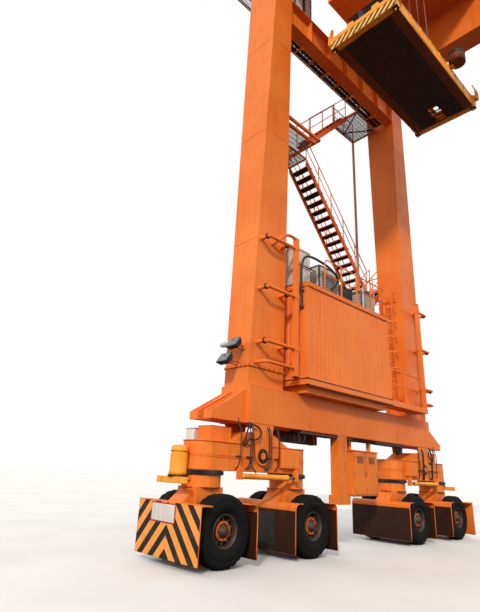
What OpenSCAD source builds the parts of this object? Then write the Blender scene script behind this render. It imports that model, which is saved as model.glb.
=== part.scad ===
// Rubber tyred gantry crane for stacking containers, at its real size in millimetres.
// The origin is on the ground, midway between the bogies and midway between the side frames.
// X is the way the crane travels, Y is the way the trolley travels, and the power house is on +Y.

/* [Portal] */
// Distance between the centre planes of the two side frames
span = 23470; // [19000:10:26000]
// Height of the sill beam's underside
sill_z = 3140; // [3000:10:3600]
// Depth of the sill beam
sill_h = 980; // [800:10:1200]
// Width of the sill beam
sill_w = 1100; // [1000:10:1200]
// Distance from the crane's middle to the outer face of a leg at the sill
leg_outer_low = 4860; // [4700:10:5000]
// Distance from the crane's middle to the inner face of a leg at the sill
leg_inner_low = 3490; // [3300:10:3700]
// Distance from the crane's middle to the outer face of a leg at the girder
leg_outer_top = 4390; // [4300:10:4600]
// Distance from the crane's middle to the inner face of a leg at the girder
leg_inner_top = 3590; // [3400:10:3700]
// Depth of a leg across the side frame, at the sill
leg_deep_low = 900; // [800:10:1100]
// Depth of a leg across the side frame, at the girder
leg_deep_top = 1400; // [1200:10:1500]
// Height of the girders' underside
girder_z = 20100; // [19500:10:22000]
// Depth of a girder
girder_h = 1600; // [1200:10:2000]
// Width of a girder
girder_w = 900; // [800:10:1000]
// Length of girder beyond the side frame's centre plane
girder_over = 900; // [750:10:1000]
// Height of the trolley rail
rail_h = 140; // [100:5:160]
// Width of the trolley rail's head
rail_w = 90; // [70:5:120]
// Height of the end tie's underside
tie_z = 17650; // [17500:10:18200]
// Depth of the end tie
tie_h = 1150; // [900:10:1300]
// Width of the end tie's flanges
tie_w = 420; // [300:10:500]
// Thickness of heavy plates
plate = 30; // [20:1:40]

/* [Running gear] */
// Distance from the crane's middle to a bogie's rocker pin
bogie_x = 4300; // [4250:10:4400]
// Distance between the two axles of a bogie
axle_pitch = 3000; // [2950:10:3100]
// Outer diameter of a tyre
tyre_d = 1490; // [1400:5:1500]
// Width of a tyre
tyre_w = 430; // [380:5:450]
// Distance between the middles of an axle's two tyres
tyre_gap = 1530; // [1500:5:1560]
// Radius of the wheel rim
rim_r = 330; // [280:5:360]
// Radius of the axle
axle_r = 90; // [70:1:110]
// Distance from the axle to a tyre guard
guard_reach = 850; // [810:5:880]
// Width of a tyre guard
guard_w = 2150; // [1900:10:2160]
// Width of the striped end bumper
bumper_w = 2300; // [2100:10:2400]
// Height of the guards' lower edge
guard_low = 150; // [100:10:300]
// Height of the guards' upper edge
guard_top = 1290; // [1200:10:1350]
// Height of the bogie beam's underside
saddle_z = 1970; // [1940:10:2000]
// Height of the bogie beam's top
saddle_top = 2620; // [2500:10:2700]
// Width of the bogie beam
saddle_w = 950; // [860:10:960]
// Height of the rocker pin
pin_z = 2360; // [2300:10:2400]
// Radius of the rocker pin
pin_r = 80; // [60:1:100]
// Radius of the steering kingpin
king_r = 100; // [80:1:120]
// Radial clearance of pins in their bores
pin_clear = 0.1; // [0.05:0.01:0.15]
// Clearance between faces that run on each other
seat = 0.3; // [0.2:0.1:0.5]

/* [Power and control houses] */
// Length of the power house
house_len = 4400; // [3800:10:4600]
// Distance from the crane's middle to the power house's near end
house_start = 3100; // [3000:10:3300]
// Distance that the power house stands inward of the side frame's centre plane
house_in = 1000; // [900:10:1100]
// Depth of the power house across the side frame
house_deep = 2100; // [1900:10:2200]
// Height of the channels under the power house
house_base_h = 360; // [300:10:400]
// Height of the power house's walls
house_h = 2750; // [2400:10:2900]
// Length of the control house
control_len = 4600; // [4000:10:5200]
// Height of the control house's walls
control_h = 2500; // [2300:10:2800]

/* [Stairs and walkways] */
// Width of the lower and upper stair flights
flight_w = 700; // [600:10:750]
// Width of the long stair flight
long_w = 960; // [850:10:1000]
// Gap between two stair flights that lie side by side
flight_gap = 120; // [110:5:160]
// Distance from the side frame's centre plane to the inner stair flight
flight_in = 690; // [690:5:760]
// Distance from the side frame's centre plane to the stair platforms beside the legs
stage_in = 640; // [630:5:680]
// Height of the lowest stair platform
stage_1 = 7370; // [7200:10:7600]
// Height of the second stair platform
stage_2 = 9900; // [9700:10:10100]
// Height of the third stair platform
stage_3 = 14750; // [14500:10:15000]
// Number of treads in the lower flight
treads_1 = 8; // [7:1:12]
// Number of treads in the long flight
treads_2 = 16; // [13:1:20]
// Number of treads in the upper flight
treads_3 = 10; // [8:1:14]
// Width of a girder's walkway
walk_w = 700; // [600:10:800]
// Thickness of gratings
grating = 40; // [30:1:50]
// Height of a handrail
rail_up = 1100; // [1000:10:1200]
// Thickness of handrail tubes
tube = 44; // [35:1:60]

/* [Trolley and cab] */
// Place of the trolley along the girders
trolley_y = 8525; // [8400:5:8800]
// Length of the trolley's end carriages
trolley_len = 5200; // [4600:10:5400]
// Radius of the trolley's wheels
trolley_wheel_r = 350; // [300:5:380]
// Thickness of the trolley's deck
deck = 100; // [60:5:140]
// Radius of the hoist drum
drum_r = 450; // [350:5:500]
// Length of the cab along the girders
cab_len = 2100; // [1800:10:2200]
// Width of the cab
cab_w = 1700; // [1600:10:1800]
// Height of the cab's underside
cab_z = 17450; // [17400:10:17600]
// Height of the cab
cab_h = 2250; // [2100:10:2300]
// Thickness of the cab's walls
cab_wall = 60; // [40:5:90]

/* [Spreader] */
// Height of the spreader's underside
spreader_z = 15700; // [15500:10:15800]
// Outer length of the spreader, set for a short container
spreader_len = 6058; // [6058:1:6060]
// Width of the spreader
spreader_w = 2438; // [2430:1:2440]
// Distance between the twistlocks along the spreader
lock_x = 5853; // [5853:1:5854]
// Distance between the twistlocks across the spreader
lock_y = 2259; // [2259:1:2260]
// Radius of a twistlock
lock_r = 28; // [25:0.5:30]
// Height of the spreader's beams
beam_h = 480; // [440:5:520]
// Width of a telescopic arm
arm_w = 250; // [200:5:260]
// Height of a telescopic arm
arm_h = 330; // [280:5:350]
// Distance from the spreader's middle to the inner pair of arms
arm_in = 430; // [420:5:440]
// Distance from the spreader's middle to the outer pair of arms
arm_out = 790; // [780:5:800]
// Clearance around a telescopic arm
arm_clear = 10; // [6:1:15]
// Length of a flipper
flipper_len = 620; // [500:10:700]
// Radius of a headblock sheave
sheave_r = 340; // [300:5:360]
// Radius of a hoist rope
rope_r = 14; // [10:1:16]

/* [Festoon] */
// Distance from the crane's middle to the festoon rail
festoon_x = 5560; // [5500:10:5700]
// Height of the festoon rail above the girder's top
festoon_up = 1500; // [1400:10:1700]
// Distance from the crane's middle to the cable's fixed end
festoon_fixed = 12300; // [12200:10:12400]
// Depth of a cable loop
loop_deep = 1250; // [1000:10:1300]
// Thickness of the bundled cables
cable_t = 90; // [60:5:120]

/* [Hidden] */
frame_nodes = [
    "sill_beams", "rocker_ears", "legs", "girders", "end_ties", "trolley_rails", "walkways", "handrails",
    "house_base", "power_house", "roof_units", "roof_rails", "control_house", "leg_guards", "leg_ladder",
    "stair_lower", "stair_middle", "stair_upper", "stair_platforms", "stair_rails", "sill_cabinets",
    "cable_tray", "festoon_rail", "festoon_cable", "floodlights"];
trolley_nodes = [
    "trolley_frame", "trolley_wheels", "hoist_machinery", "cab_shell", "cab_windows", "hoist_ropes"];
spreader_nodes = ["headblock", "spreader_frame", "spreader_end_a", "spreader_end_b"];
$fn = 48;

orange = [0.88, 0.43, 0.2];
amber = [0.93, 0.55, 0.12];
dark = [0.16, 0.13, 0.12];
rubber = [0.07, 0.07, 0.07];
grey = [0.78, 0.77, 0.73];
steel = [0.55, 0.55, 0.53];

sill_top = sill_z + sill_h;
girder_top = girder_z + girder_h;
rail_top = girder_top + rail_h;
girder_x = (leg_outer_top + leg_inner_top) / 2;
girder_end = span / 2 + girder_over;
stair_in = flight_in;
stair_mid = stair_in + flight_w + flight_gap;
stair_out = stair_mid + long_w;
reach_y = span / 2 + stair_out;
house_z = sill_top + house_base_h;
roof_band = 140;
house_top = house_z + house_h + roof_band;
house_right = house_len - house_start;
stage_4 = tie_z + grating;
post = 90;
pole_y = stair_in + flight_w + 15;
axle_z = tyre_d / 2;
yoke_top = saddle_z - 120;
wheel_out = tyre_gap / 2 + tyre_w / 2;
end_beam = 200;
end_x = spreader_len / 2 - end_beam;
beam_len = 2 * (end_x - 40);
arm_z = spreader_z + 70;
beam_z = spreader_z + 20;
beam_top = beam_z + beam_h;
head_z = beam_top + 240;
head_top = head_z + 560;
sheave_z = head_top + 170;
deck_z = rail_top + trolley_wheel_r + 150;
carriage_top = rail_top + 2 * trolley_wheel_r + 160;
rope_top = deck_z;
festoon_z = girder_top + festoon_up;
wheel_y = trolley_len / 2 - 550;
pocket_w = 220;

// A leg's outline between the sill and the girder, at height z
function leg_at(low, top, z) = low + (top - low) * (z - sill_top) / (girder_z - sill_top);
function leg_out_x(z) = leg_at(leg_outer_low, leg_outer_top, z);
function leg_in_x(z) = leg_at(leg_inner_low, leg_inner_top, z);
function leg_half_y(z) = leg_at(leg_deep_low, leg_deep_top, z) / 2;

// A box between two opposite corners
module block(lo, hi) {
    translate(lo) cube(hi - lo);
}

// Local frame of a side frame: X along it, +Y away from the containers
module on_side(s) {
    translate([0, s * span / 2, 0]) mirror([0, 1 - s, 0]) children();
}

// The same piece at both ends of the crane, mirrored
module both_ends() {
    children();
    mirror([1, 0, 0]) children();
}

// The same piece on both side frames, mirrored
module both_sides() {
    for (s = [-1, 1]) on_side(s) children();
}

// A prism along Y from an outline drawn in X and Z
module across(y0, y1) {
    translate([0, y1, 0]) rotate([90, 0, 0]) linear_extrude(y1 - y0) children();
}

// A prism along X from an outline drawn in Y and Z
module along(x0, x1) {
    translate([x0, 0, 0]) rotate([90, 0, 90]) linear_extrude(x1 - x0) children();
}

// A round bar along Y
module rod_y(r, y0, y1) {
    translate([0, y1, 0]) rotate([90, 0, 0]) cylinder(r = r, h = y1 - y0);
}

// A round bar along X
module rod_x(r, x0, x1) {
    translate([x0, 0, 0]) rotate([0, 90, 0]) cylinder(r = r, h = x1 - x0);
}

// A straight handrail along X from the origin: posts, a top rail and a knee rail
module fence(length) {
    bays = max(1, round(length / 1400));
    for (i = [0:bays])
        translate([i * (length - tube) / bays, 0, 0]) cube([tube, tube, rail_up]);
    translate([0, 0, rail_up - tube]) cube([length, tube, tube]);
    translate([0, 0, rail_up / 2]) cube([length, tube, tube]);
}

// A handrail along Y
module fence_y(length) {
    translate([tube, 0, 0]) rotate([0, 0, 90]) fence(length);
}

// Longitudinal box beams that join the legs above the bogies, with sloping end brackets
module sill_beams() {
    bracket_len = 1090;
    bracket_w = 300;
    bracket_in = 120;
    bracket_lip = 170;
    groove = 60;
    wall = 30;
    tip = leg_outer_low + bracket_len;
    shoulder = sill_top - 170;
    color(orange) both_sides() {
        block([-leg_outer_low, -sill_w / 2, sill_z], [leg_outer_low, sill_w / 2, sill_top]);
        for (m = [0, 1]) both_ends() mirror([0, m, 0]) difference() {
            across(bracket_in, bracket_in + bracket_w) polygon([
                [leg_outer_low - 1, sill_z], [tip, sill_z],
                [tip, sill_z + bracket_lip], [leg_outer_low - 1, shoulder]]);
            across(bracket_in + wall, bracket_in + bracket_w - wall) polygon([
                [leg_outer_low + 100, shoulder - groove], [tip + 1, sill_z + bracket_lip - groove],
                [tip + 1, sill_top], [leg_outer_low + 100, sill_top]]);
        }
    }
}

// Tapered plates under the sill that carry the rocker pins
module rocker_ears() {
    ear_w = 770;
    tip_r = 225;
    ear_y = saddle_w / 2 + 35;
    color(orange) both_sides() both_ends() for (m = [0, 1])
        mirror([0, m, 0]) difference() {
            across(ear_y, ear_y + plate) {
                translate([bogie_x, pin_z]) circle(r = tip_r);
                polygon([
                    [bogie_x - ear_w / 2, sill_z], [bogie_x + ear_w / 2, sill_z],
                    [bogie_x + tip_r, pin_z], [bogie_x - tip_r, pin_z]]);
            }
            translate([bogie_x, 0, pin_z]) rod_y(pin_r + pin_clear, ear_y - 1, ear_y + plate + 1);
        }
}

// Half outline of a leg, from the sill to the girder
module leg() {
    flange_z = 480;
    flange = 40;
    intersection() {
        across(-leg_deep_top, leg_deep_top) polygon([
            [leg_inner_low, sill_top], [leg_outer_low, sill_top],
            [leg_outer_top, girder_z], [leg_inner_top, girder_z]]);
        along(leg_inner_low - 500, leg_outer_low + 500) polygon([
            [-leg_deep_low / 2, sill_top], [leg_deep_low / 2, sill_top],
            [leg_deep_top / 2, girder_z], [-leg_deep_top / 2, girder_z]]);
    }
    block([leg_inner_low - flange, -leg_deep_low / 2 - flange, sill_top + flange_z],
        [leg_outer_low + flange / 2, leg_deep_low / 2 + flange, sill_top + flange_z + plate]);
}

// Four legs, wider at the foot along the crane and deeper at the head across it
module legs() {
    color(orange) both_sides() both_ends() leg();
}

// Two box girders that span the containers
module girders() {
    color(orange) both_ends()
        block([girder_x - girder_w / 2, -girder_end, girder_z],
            [girder_x + girder_w / 2, girder_end, girder_top]);
}

// Ties between the leg heads: a deep web between two flanges, with stiffeners
module end_ties() {
    tie_y = -leg_deep_top / 2 + 40;
    web_y = tie_y + tie_w / 2;
    tie_x = leg_in_x(tie_z) - seat;
    ribs = 6;
    color(orange) both_sides() {
        block([-tie_x, tie_y, tie_z], [tie_x, tie_y + tie_w, tie_z + plate]);
        block([-tie_x, tie_y, tie_z + tie_h - plate], [tie_x, tie_y + tie_w, tie_z + tie_h]);
        block([-tie_x, web_y - plate / 2, tie_z], [tie_x, web_y + plate / 2, tie_z + tie_h]);
        for (i = [0:ribs])
            translate([-tie_x + i * (2 * tie_x - plate) / ribs, tie_y, tie_z])
                cube([plate, tie_w, tie_h]);
    }
}

// Rails on top of the girders
module trolley_rails() {
    end_stop = 260;
    color(steel) both_ends() {
        block([girder_x - rail_w / 2, -girder_end, girder_top],
            [girder_x + rail_w / 2, girder_end, rail_top]);
        for (m = [0, 1]) mirror([0, m, 0])
            block([girder_x - rail_w, girder_end - end_stop, girder_top],
                [girder_x + rail_w, girder_end, rail_top + end_stop]);
    }
}

// Gratings beside the girders, at their ends and on the outer side of the end ties
module walkways() {
    out_x = girder_x + girder_w / 2;
    walk_z = girder_top - grating;
    bracket_pitch = 2900;
    brackets = floor(girder_end / bracket_pitch);
    tie_walk_in = -leg_deep_top / 2 + 40 + tie_w;
    tie_walk_out = 180;
    color(dark) both_ends() {
        block([out_x, -reach_y, walk_z], [out_x + walk_w, reach_y, girder_top]);
        for (i = [-brackets:brackets]) across(i * bracket_pitch, i * bracket_pitch + 60)
            polygon([[out_x, walk_z], [out_x + walk_w, walk_z], [out_x, walk_z - 450]]);
    }
    color(dark) both_sides() {
        block([-out_x, girder_over, walk_z], [out_x, reach_y - span / 2, girder_top]);
        block([-leg_inner_low + 100, tie_walk_in, tie_z],
            [leg_inner_low - 100, tie_walk_out, tie_z + grating]);
    }
}

// Handrails of the girder walkways and their end platforms
module handrails() {
    out_x = girder_x + girder_w / 2 + walk_w;
    color(orange) {
        both_ends() translate([out_x - tube, -reach_y, girder_top]) fence_y(2 * reach_y);
        for (s = [-1, 1])
            translate([-out_x + 2 * tube, s * reach_y - (s + 1) / 2 * tube, girder_top])
                fence(2 * out_x - 4 * tube);
        both_sides() translate([-leg_inner_low + 100, 180 - tube, tie_z + grating])
            fence(2 * (leg_inner_low - 100));
    }
}

// Two tiers of channels that carry the power house on the sill
module house_base() {
    tier = house_base_h / 2;
    set_back = 110;
    right = house_right;
    ledge = leg_inner_low + 350;
    color(orange) on_side(1) {
        block([-house_start - 60, -house_in - 60, sill_top + tier],
            [right + 60, house_deep - house_in + 60, house_z]);
        block([-house_start + set_back, -house_in + set_back, sill_top],
            [right - set_back, house_deep - house_in - set_back, sill_top + tier]);
        block([right + 60, -house_in - 60, sill_top + tier], [ledge, -leg_deep_low / 2 - 60, house_z]);
    }
}

// Closed housing of the power pack, with a roof band that stands proud
module power_house() {
    right = house_right;
    band = 60;
    color(orange) on_side(1) {
        block([-house_start, -house_in, house_z], [right, house_deep - house_in, house_z + house_h]);
        block([-house_start - band, -house_in - band, house_z + house_h],
            [right + band, house_deep - house_in + band, house_top]);
    }
}

// Cooling units and boxes on the power house's roof
module roof_units() {
    color(grey) on_side(1) {
        block([-house_start + 20, -500, house_top], [-house_start + 780, 350, house_top + 1350]);
        block([-house_start + 1050, -650, house_top], [-house_start + 2150, 300, house_top + 1050]);
        block([-house_start + 2500, -420, house_top], [-house_start + 3250, 450, house_top + 850]);
        block([-house_start + 3500, -700, house_top], [-house_start + 4250, 250, house_top + 950]);
    }
}

// Handrail along the roof's inner edge and its far end
module roof_rails() {
    right = house_right;
    start = -house_start + 900;
    color(orange) on_side(1) {
        translate([start, -house_in, house_top]) fence(right - start);
        translate([right, -house_in + 60, house_top]) fence_y(house_deep - 120);
        translate([right + 100, -house_in - 20, house_z]) fence(leg_inner_low - right - 140);
    }
}

// Closed electrical house on the other side frame, on its own base
module control_house() {
    color(orange) on_side(-1) {
        block([-control_len / 2 - 60, -house_in - 60, sill_top],
            [control_len / 2 + 60, house_deep - house_in + 60, house_z]);
        block([-control_len / 2, -house_in, house_z],
            [control_len / 2, house_deep - house_in, house_z + control_h]);
        block([-control_len / 2 - 60, -house_in - 60, house_z + control_h],
            [control_len / 2 + 60, house_deep - house_in + 60, house_z + control_h + 120]);
    }
}

// A square tube that stands off a leg's inner face on three brackets
module leg_guard(pole_x, boss_x) {
    pole = 130;
    stand_off = 330;
    bar = 50;
    boss = 55;
    bar_y = -leg_deep_low / 2 - stand_off - pole / 2;
    color(orange) {
        block([pole_x - pole / 2, bar_y - pole / 2, sill_top + 350],
            [pole_x + pole / 2, bar_y + pole / 2, sill_top + 4550]);
        for (i = [0:2]) {
            z = sill_top + 1150 + i * 1550;
            for (x = [boss_x, boss_x + (pole_x - boss_x) * 0.72])
                translate([x, 0, z]) rod_y(boss, bar_y, -leg_half_y(z + boss) - seat);
            translate([0, bar_y, z]) rod_x(bar, min(boss_x, pole_x), max(boss_x, pole_x));
        }
    }
}

// Guards on the legs that stand beside the truck lane
module leg_guards() {
    leg_x = (leg_inner_low + leg_outer_low) / 2;
    on_side(1) {
        leg_guard(-leg_inner_low + 60, -leg_x - 430);
        leg_guard(leg_x - 130, leg_x + 560);
    }
}

// Ladder with safety hoops on the far leg, between the house and the leg
module leg_ladder() {
    low = house_z;
    high = house_z + 4700;
    ladder_w = 420;
    hoop_r = 360;
    bar = 25;
    rung_pitch = 300;
    stand = 150;
    hoops = 6;
    hoop_pitch = 620;
    hoop_z = low + 1500;
    x = leg_inner_low - stand;
    color(orange) on_side(1) translate([x, 0, 0]) {
        for (m = [-1, 1]) translate([-20, m * ladder_w / 2, 0]) {
            block([-20, -20, low], [20, 20, high]);
            for (z = [low + 300, high - 400]) block([0, -20, z], [leg_in_x(z) - x - seat + 20, 20, z + 60]);
        }
        for (z = [low + rung_pitch:rung_pitch:high - 100])
            translate([-20, 0, z]) rod_y(14, -ladder_w / 2, ladder_w / 2);
        for (i = [0:hoops - 1]) translate([-20, 0, hoop_z + i * hoop_pitch]) linear_extrude(40) {
            intersection() {
                difference() {
                    circle(r = hoop_r);
                    circle(r = hoop_r - bar);
                }
                translate([-hoop_r, -hoop_r]) square([hoop_r, 2 * hoop_r]);
            }
            for (m = [0, 1]) mirror([0, m]) translate([-bar, ladder_w / 2])
                square([bar, hoop_r - ladder_w / 2]);
        }
        for (a = [-50, 0, 50]) translate([-20, 0, hoop_z]) rotate([0, 0, a])
            translate([-hoop_r, -bar / 2, 0]) cube([bar, bar, (hoops - 1) * hoop_pitch + 40]);
    }
}

// One stair flight from the origin up along X: treads between two stringers
module flight(rise, run, treads, wide = flight_w) {
    step = rise / (treads + 1);
    going = run / (treads + 1);
    stringer = 45;
    deep = 230;
    tread = 150;
    for (y = [0, wide - stringer]) across(y, y + stringer) polygon([
        [0, 0], [run, rise], [run, rise - deep], [deep * run / rise, 0]]);
    for (i = [1:treads])
        block([i * going - tread, stringer, i * step - 70],
            [i * going + tread, wide - stringer, i * step - 30]);
}

// Feet and heads of the three flights along the crane
foot_1 = 1560;
head_1 = 4330;
head_2 = -60;
foot_3 = -870;
head_3 = 1850;
far_stage = head_1 + 1150;
landing = 300;
near_stage = -2850;
pole_x = leg_inner_low - 30;

// Flight from the roof level back up to the platform beside the far leg
module stair_lower() {
    color(orange) on_side(1) translate([foot_1, stair_in, stage_1])
        flight(stage_2 - stage_1, head_1 - foot_1, treads_1);
}

// Long flight that climbs towards the near leg
module stair_middle() {
    color(orange) on_side(1) translate([head_1, stair_out, stage_2]) rotate([0, 0, 180])
        flight(stage_3 - stage_2, head_1 - head_2, treads_2, long_w);
}

// Upper flight to the platform below the girder
module stair_upper() {
    color(orange) on_side(1) translate([foot_3, stair_in, stage_3])
        flight(stage_4 - stage_3, head_3 - foot_3, treads_3);
}

// A platform of a given rectangle with its top at height z
module stage(lo, hi, z) {
    block([lo[0], lo[1], z - 120], [hi[0], hi[1], z]);
}

// Bracket beam from a leg's outer face to a platform above it
module stage_beam(x, z) {
    block([x, leg_half_y(z - 120) + seat, z - 240], [x + post, stair_out - 200, z - 120]);
}

// Frame that stands out from the near leg's inner face and carries the third platform
module stage_arms(z) {
    arm_stop = foot_3 + 170;
    for (y = [250, 500])
        block([-leg_in_x(z - 240) + seat, y, z - 240], [arm_stop, y + post, z - 120]);
    for (x = [near_stage, arm_stop - post])
        block([x, 250, z - 240], [x + post, stair_out - 150, z - 120]);
}

// Platforms between the flights, with the brackets and posts that carry them
module stair_platforms() {
    color(dark) on_side(1) {
        stage([house_right + 70, stage_in], [far_stage, stair_out], stage_1);
        stage([head_1, stair_in], [far_stage, stair_out], stage_2);
        stage([head_1 - landing, stair_mid], [head_1, stair_out], stage_2);
        stage([near_stage, stair_in], [foot_3 + 220, stair_mid], stage_3);
        stage([near_stage, stair_mid], [head_2, stair_out], stage_3);
        stage([head_3, 180], [pole_x + post, pole_y + post], stage_4);
        for (x = [leg_inner_low + 200, leg_inner_low + 900]) stage_beam(x, stage_1);
        stage_arms(stage_3);
        for (y = [stair_in, stair_out - post])
            block([far_stage - post, y, stage_1], [far_stage, y + post, stage_2 - 120]);
        block([pole_x, pole_y, stage_1], [pole_x + post, pole_y + post, stage_4 - 120]);
    }
}

// The two sloping handrails of a flight
module flight_rails(rise, run, wide = flight_w) {
    bays = max(2, round(norm([rise, run]) / 1300));
    slope = rise / run;
    lift = tube * slope + seat;
    thick = tube * 1.3;
    for (y = [0, wide - tube]) {
        for (z = [rail_up, rail_up / 2]) across(y, y + tube)
            polygon([[0, z], [run, rise + z], [run, rise + z - thick], [0, z - thick]]);
        for (i = [0:bays]) translate([i * (run - tube) / bays, y, i * (run - tube) / bays * slope + lift])
            cube([tube, tube, rail_up - lift - 10]);
    }
}

// Handrails of the flights and of the platforms' outer edges
module stair_rails() {
    color(orange) on_side(1) {
        translate([foot_1, stair_in, stage_1]) flight_rails(stage_2 - stage_1, head_1 - foot_1);
        translate([head_1, stair_out, stage_2]) rotate([0, 0, 180])
            flight_rails(stage_3 - stage_2, head_1 - head_2, long_w);
        translate([foot_3, stair_in, stage_3]) flight_rails(stage_4 - stage_3, head_3 - foot_3);
        translate([house_right + 70, stair_out - tube, stage_1]) fence(far_stage - house_right - 70 - post);
        translate([far_stage - tube, stair_in, stage_2]) fence_y(stair_out - stair_in);
        translate([near_stage, stair_out - tube, stage_3]) fence(head_2 - near_stage - 60);
        translate([near_stage, stair_in, stage_3]) fence_y(stair_out - stair_in);
        translate([head_3 + 60, pole_y + post - tube, stage_4]) fence(pole_x + post - head_3 - 60);
    }
}

// Hanging post and switch cabinets under the sills
module sill_cabinets() {
    post_x = -870;
    post_w = 420;
    cabinet_x = -300;
    cabinet_w = 1350;
    color(amber) both_sides() {
        block([post_x - post_w / 2, -sill_w / 2, pin_z - 900],
            [post_x + post_w / 2, -sill_w / 2 + 300, sill_z]);
        block([post_x - post_w / 2 - 60, -sill_w / 2 - 40, pin_z - 1150],
            [post_x + post_w / 2 + 60, -sill_w / 2 + 340, pin_z - 900]);
        block([cabinet_x, -sill_w / 2 + 20, 1460], [cabinet_x + cabinet_w, -sill_w / 2 + 620, 2760]);
        for (x = [cabinet_x + 80, cabinet_x + cabinet_w - 180])
            block([x, -sill_w / 2 + 200, 2760], [x + 100, -sill_w / 2 + 300, sill_z]);
    }
}

// Ladder tray and beam for cables along the sill's underside
module cable_tray() {
    tray_w = 360;
    tray_y = -sill_w / 2 + 30;
    rung_pitch = 240;
    runs = [[-2800, -1100], [-640, -320], [1070, 2800]];
    beam = 180;
    beam_start = -3100;
    beam_stop = -1150;
    color(dark) both_sides() for (run = runs) {
        rungs = round((run[1] - run[0]) / rung_pitch);
        for (y = [tray_y, tray_y + tray_w])
            block([run[0], y, sill_z - 90], [run[1], y + 30, sill_z]);
        for (i = [0:rungs])
            translate([run[0] + i * (run[1] - run[0] - 40) / rungs, tray_y + 30, sill_z - 80])
                cube([40, tray_w - 30, 30]);
    }
    color(amber) both_sides()
        block([beam_start, sill_w / 2 - 350, sill_z - beam - 120],
            [beam_stop, sill_w / 2 - 350 + beam, sill_z]);
}

// Place of a festoon carrier at rest, and the share of the trolley's travel that it follows
function festoon_y(t) = festoon_fixed + t * (trolley_y - festoon_fixed);

// Rail on posts beside the girder, with the cable's fixed clamp
module festoon_rail() {
    out_x = girder_x + girder_w / 2 + walk_w;
    rail = 120;
    posts = 9;
    first = -girder_end + 100;
    last = festoon_fixed + 250;
    color(orange) {
        block([-festoon_x - rail / 2, first, festoon_z - rail], [-festoon_x + rail / 2, last, festoon_z]);
        for (i = [0:posts]) translate([0, first + i * (last - first - 100) / posts, 0]) {
            block([-out_x - 80, 0, girder_top - 300], [-out_x, 80, festoon_z + 80]);
            block([-festoon_x - rail / 2, 0, festoon_z], [-out_x, 80, festoon_z + 80]);
        }
        block([-festoon_x - 100, festoon_fixed - 180, festoon_z - rail - 200 + seat],
            [-festoon_x + 100, festoon_fixed + 60, festoon_z - rail]);
    }
}

// Bundled cables that hang in loops from the fixed clamp to the trolley's arm
module festoon_cable() {
    loops = 4;
    hang_z = festoon_z - 120 - 200;
    pitch = (festoon_fixed - trolley_y) / loops;
    r_out = (pitch - 140) / 2;
    color(rubber) for (i = [0:loops - 1])
        translate([-festoon_x - cable_t / 2, festoon_fixed - (i + 0.5) * pitch, 0]) {
            for (m = [0, 1]) mirror([0, m, 0])
                block([0, r_out - cable_t, hang_z - loop_deep + r_out], [cable_t, r_out, hang_z]);
            translate([0, 0, hang_z - loop_deep + r_out]) rotate([90, 0, 90]) difference() {
                cylinder(r = r_out, h = cable_t);
                translate([0, 0, -1]) cylinder(r = r_out - cable_t, h = cable_t + 2);
                translate([-r_out - 1, 0, -1]) cube([2 * r_out + 2, r_out + 2, cable_t + 2]);
            }
        }
    color(steel) for (i = [1:loops - 1])
        block([-festoon_x - 70, festoon_fixed - i * pitch - 130, hang_z],
            [-festoon_x + 70, festoon_fixed - i * pitch + 130, festoon_z - 120 - seat]);
}

// Floodlights and a small camera housing on brackets at the near leg
module floodlights() {
    arm = 60;
    color(dark) on_side(1) {
        for (p = [[-5330, -430, 5050], [-5500, -300, 4620]]) {
            translate(p) rotate([0, 35, 0]) cube([150, 420, 330]);
            block([p[0] + 100, p[1] + 180, p[2] + 60],
                [-leg_out_x(p[2] + 60) - seat, p[1] + 180 + arm, p[2] + 60 + arm]);
        }
        block([-5150, 60, 5150], [-4990, 420, 5300]);
        block([-5000, 180, 5180], [-leg_out_x(5180) - seat, 240, 5240]);
    }
}

// Trolley frame: two end carriages, two cross girders and the deck
module trolley_frame() {
    carriage_w = 420;
    cross_w = 520;
    cross_h = 620;
    cross_y = 1700;
    carriage_z = rail_top + 130;
    arm_y = 90;
    arm_z = festoon_z + 120;
    reach = festoon_x + 240;
    translate([0, trolley_y, 0]) color(orange) {
        both_ends() difference() {
            block([girder_x - carriage_w / 2, -trolley_len / 2, carriage_z],
                [girder_x + carriage_w / 2, trolley_len / 2, carriage_top]);
            for (m = [-1, 1]) block([girder_x - pocket_w / 2, m * wheel_y - 420, carriage_z - 1],
                [girder_x + pocket_w / 2, m * wheel_y + 420, carriage_top - 100]);
        }
        for (m = [0, 1]) mirror([0, m, 0])
            block([-girder_x + carriage_w / 2, cross_y - cross_w / 2, deck_z + deck],
                [girder_x - carriage_w / 2, cross_y + cross_w / 2, deck_z + deck + cross_h]);
        block([-girder_x + carriage_w / 2, -trolley_len / 2 + 200, deck_z],
            [girder_x - carriage_w / 2, trolley_len / 2 - 200, deck_z + deck]);
        block([-reach, -arm_y, arm_z], [-girder_x + carriage_w / 2, arm_y, arm_z + 2 * arm_y]);
        block([-girder_x - carriage_w / 2, -arm_y, carriage_top],
            [-girder_x + carriage_w / 2, arm_y, arm_z]);
        block([-reach, -arm_y, festoon_z - 320 + seat], [-reach + 80, arm_y, arm_z]);
        block([-reach, -arm_y, festoon_z - 320 + seat], [-festoon_x + 50, arm_y, festoon_z - 240]);
    }
}

// Four flanged wheels on the rails
module trolley_wheels() {
    tread_w = 150;
    flange = 30;
    color(steel) translate([0, trolley_y, rail_top + trolley_wheel_r + seat])
        both_ends() for (m = [-1, 1]) translate([girder_x, m * wheel_y, 0]) {
            rod_x(trolley_wheel_r, -tread_w / 2, tread_w / 2);
            for (k = [0, 1]) mirror([k, 0, 0])
                rod_x(trolley_wheel_r + flange, tread_w / 2 - 20, tread_w / 2);
            rod_x(60, -pocket_w / 2 + seat, pocket_w / 2 - seat);
        }
}

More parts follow.
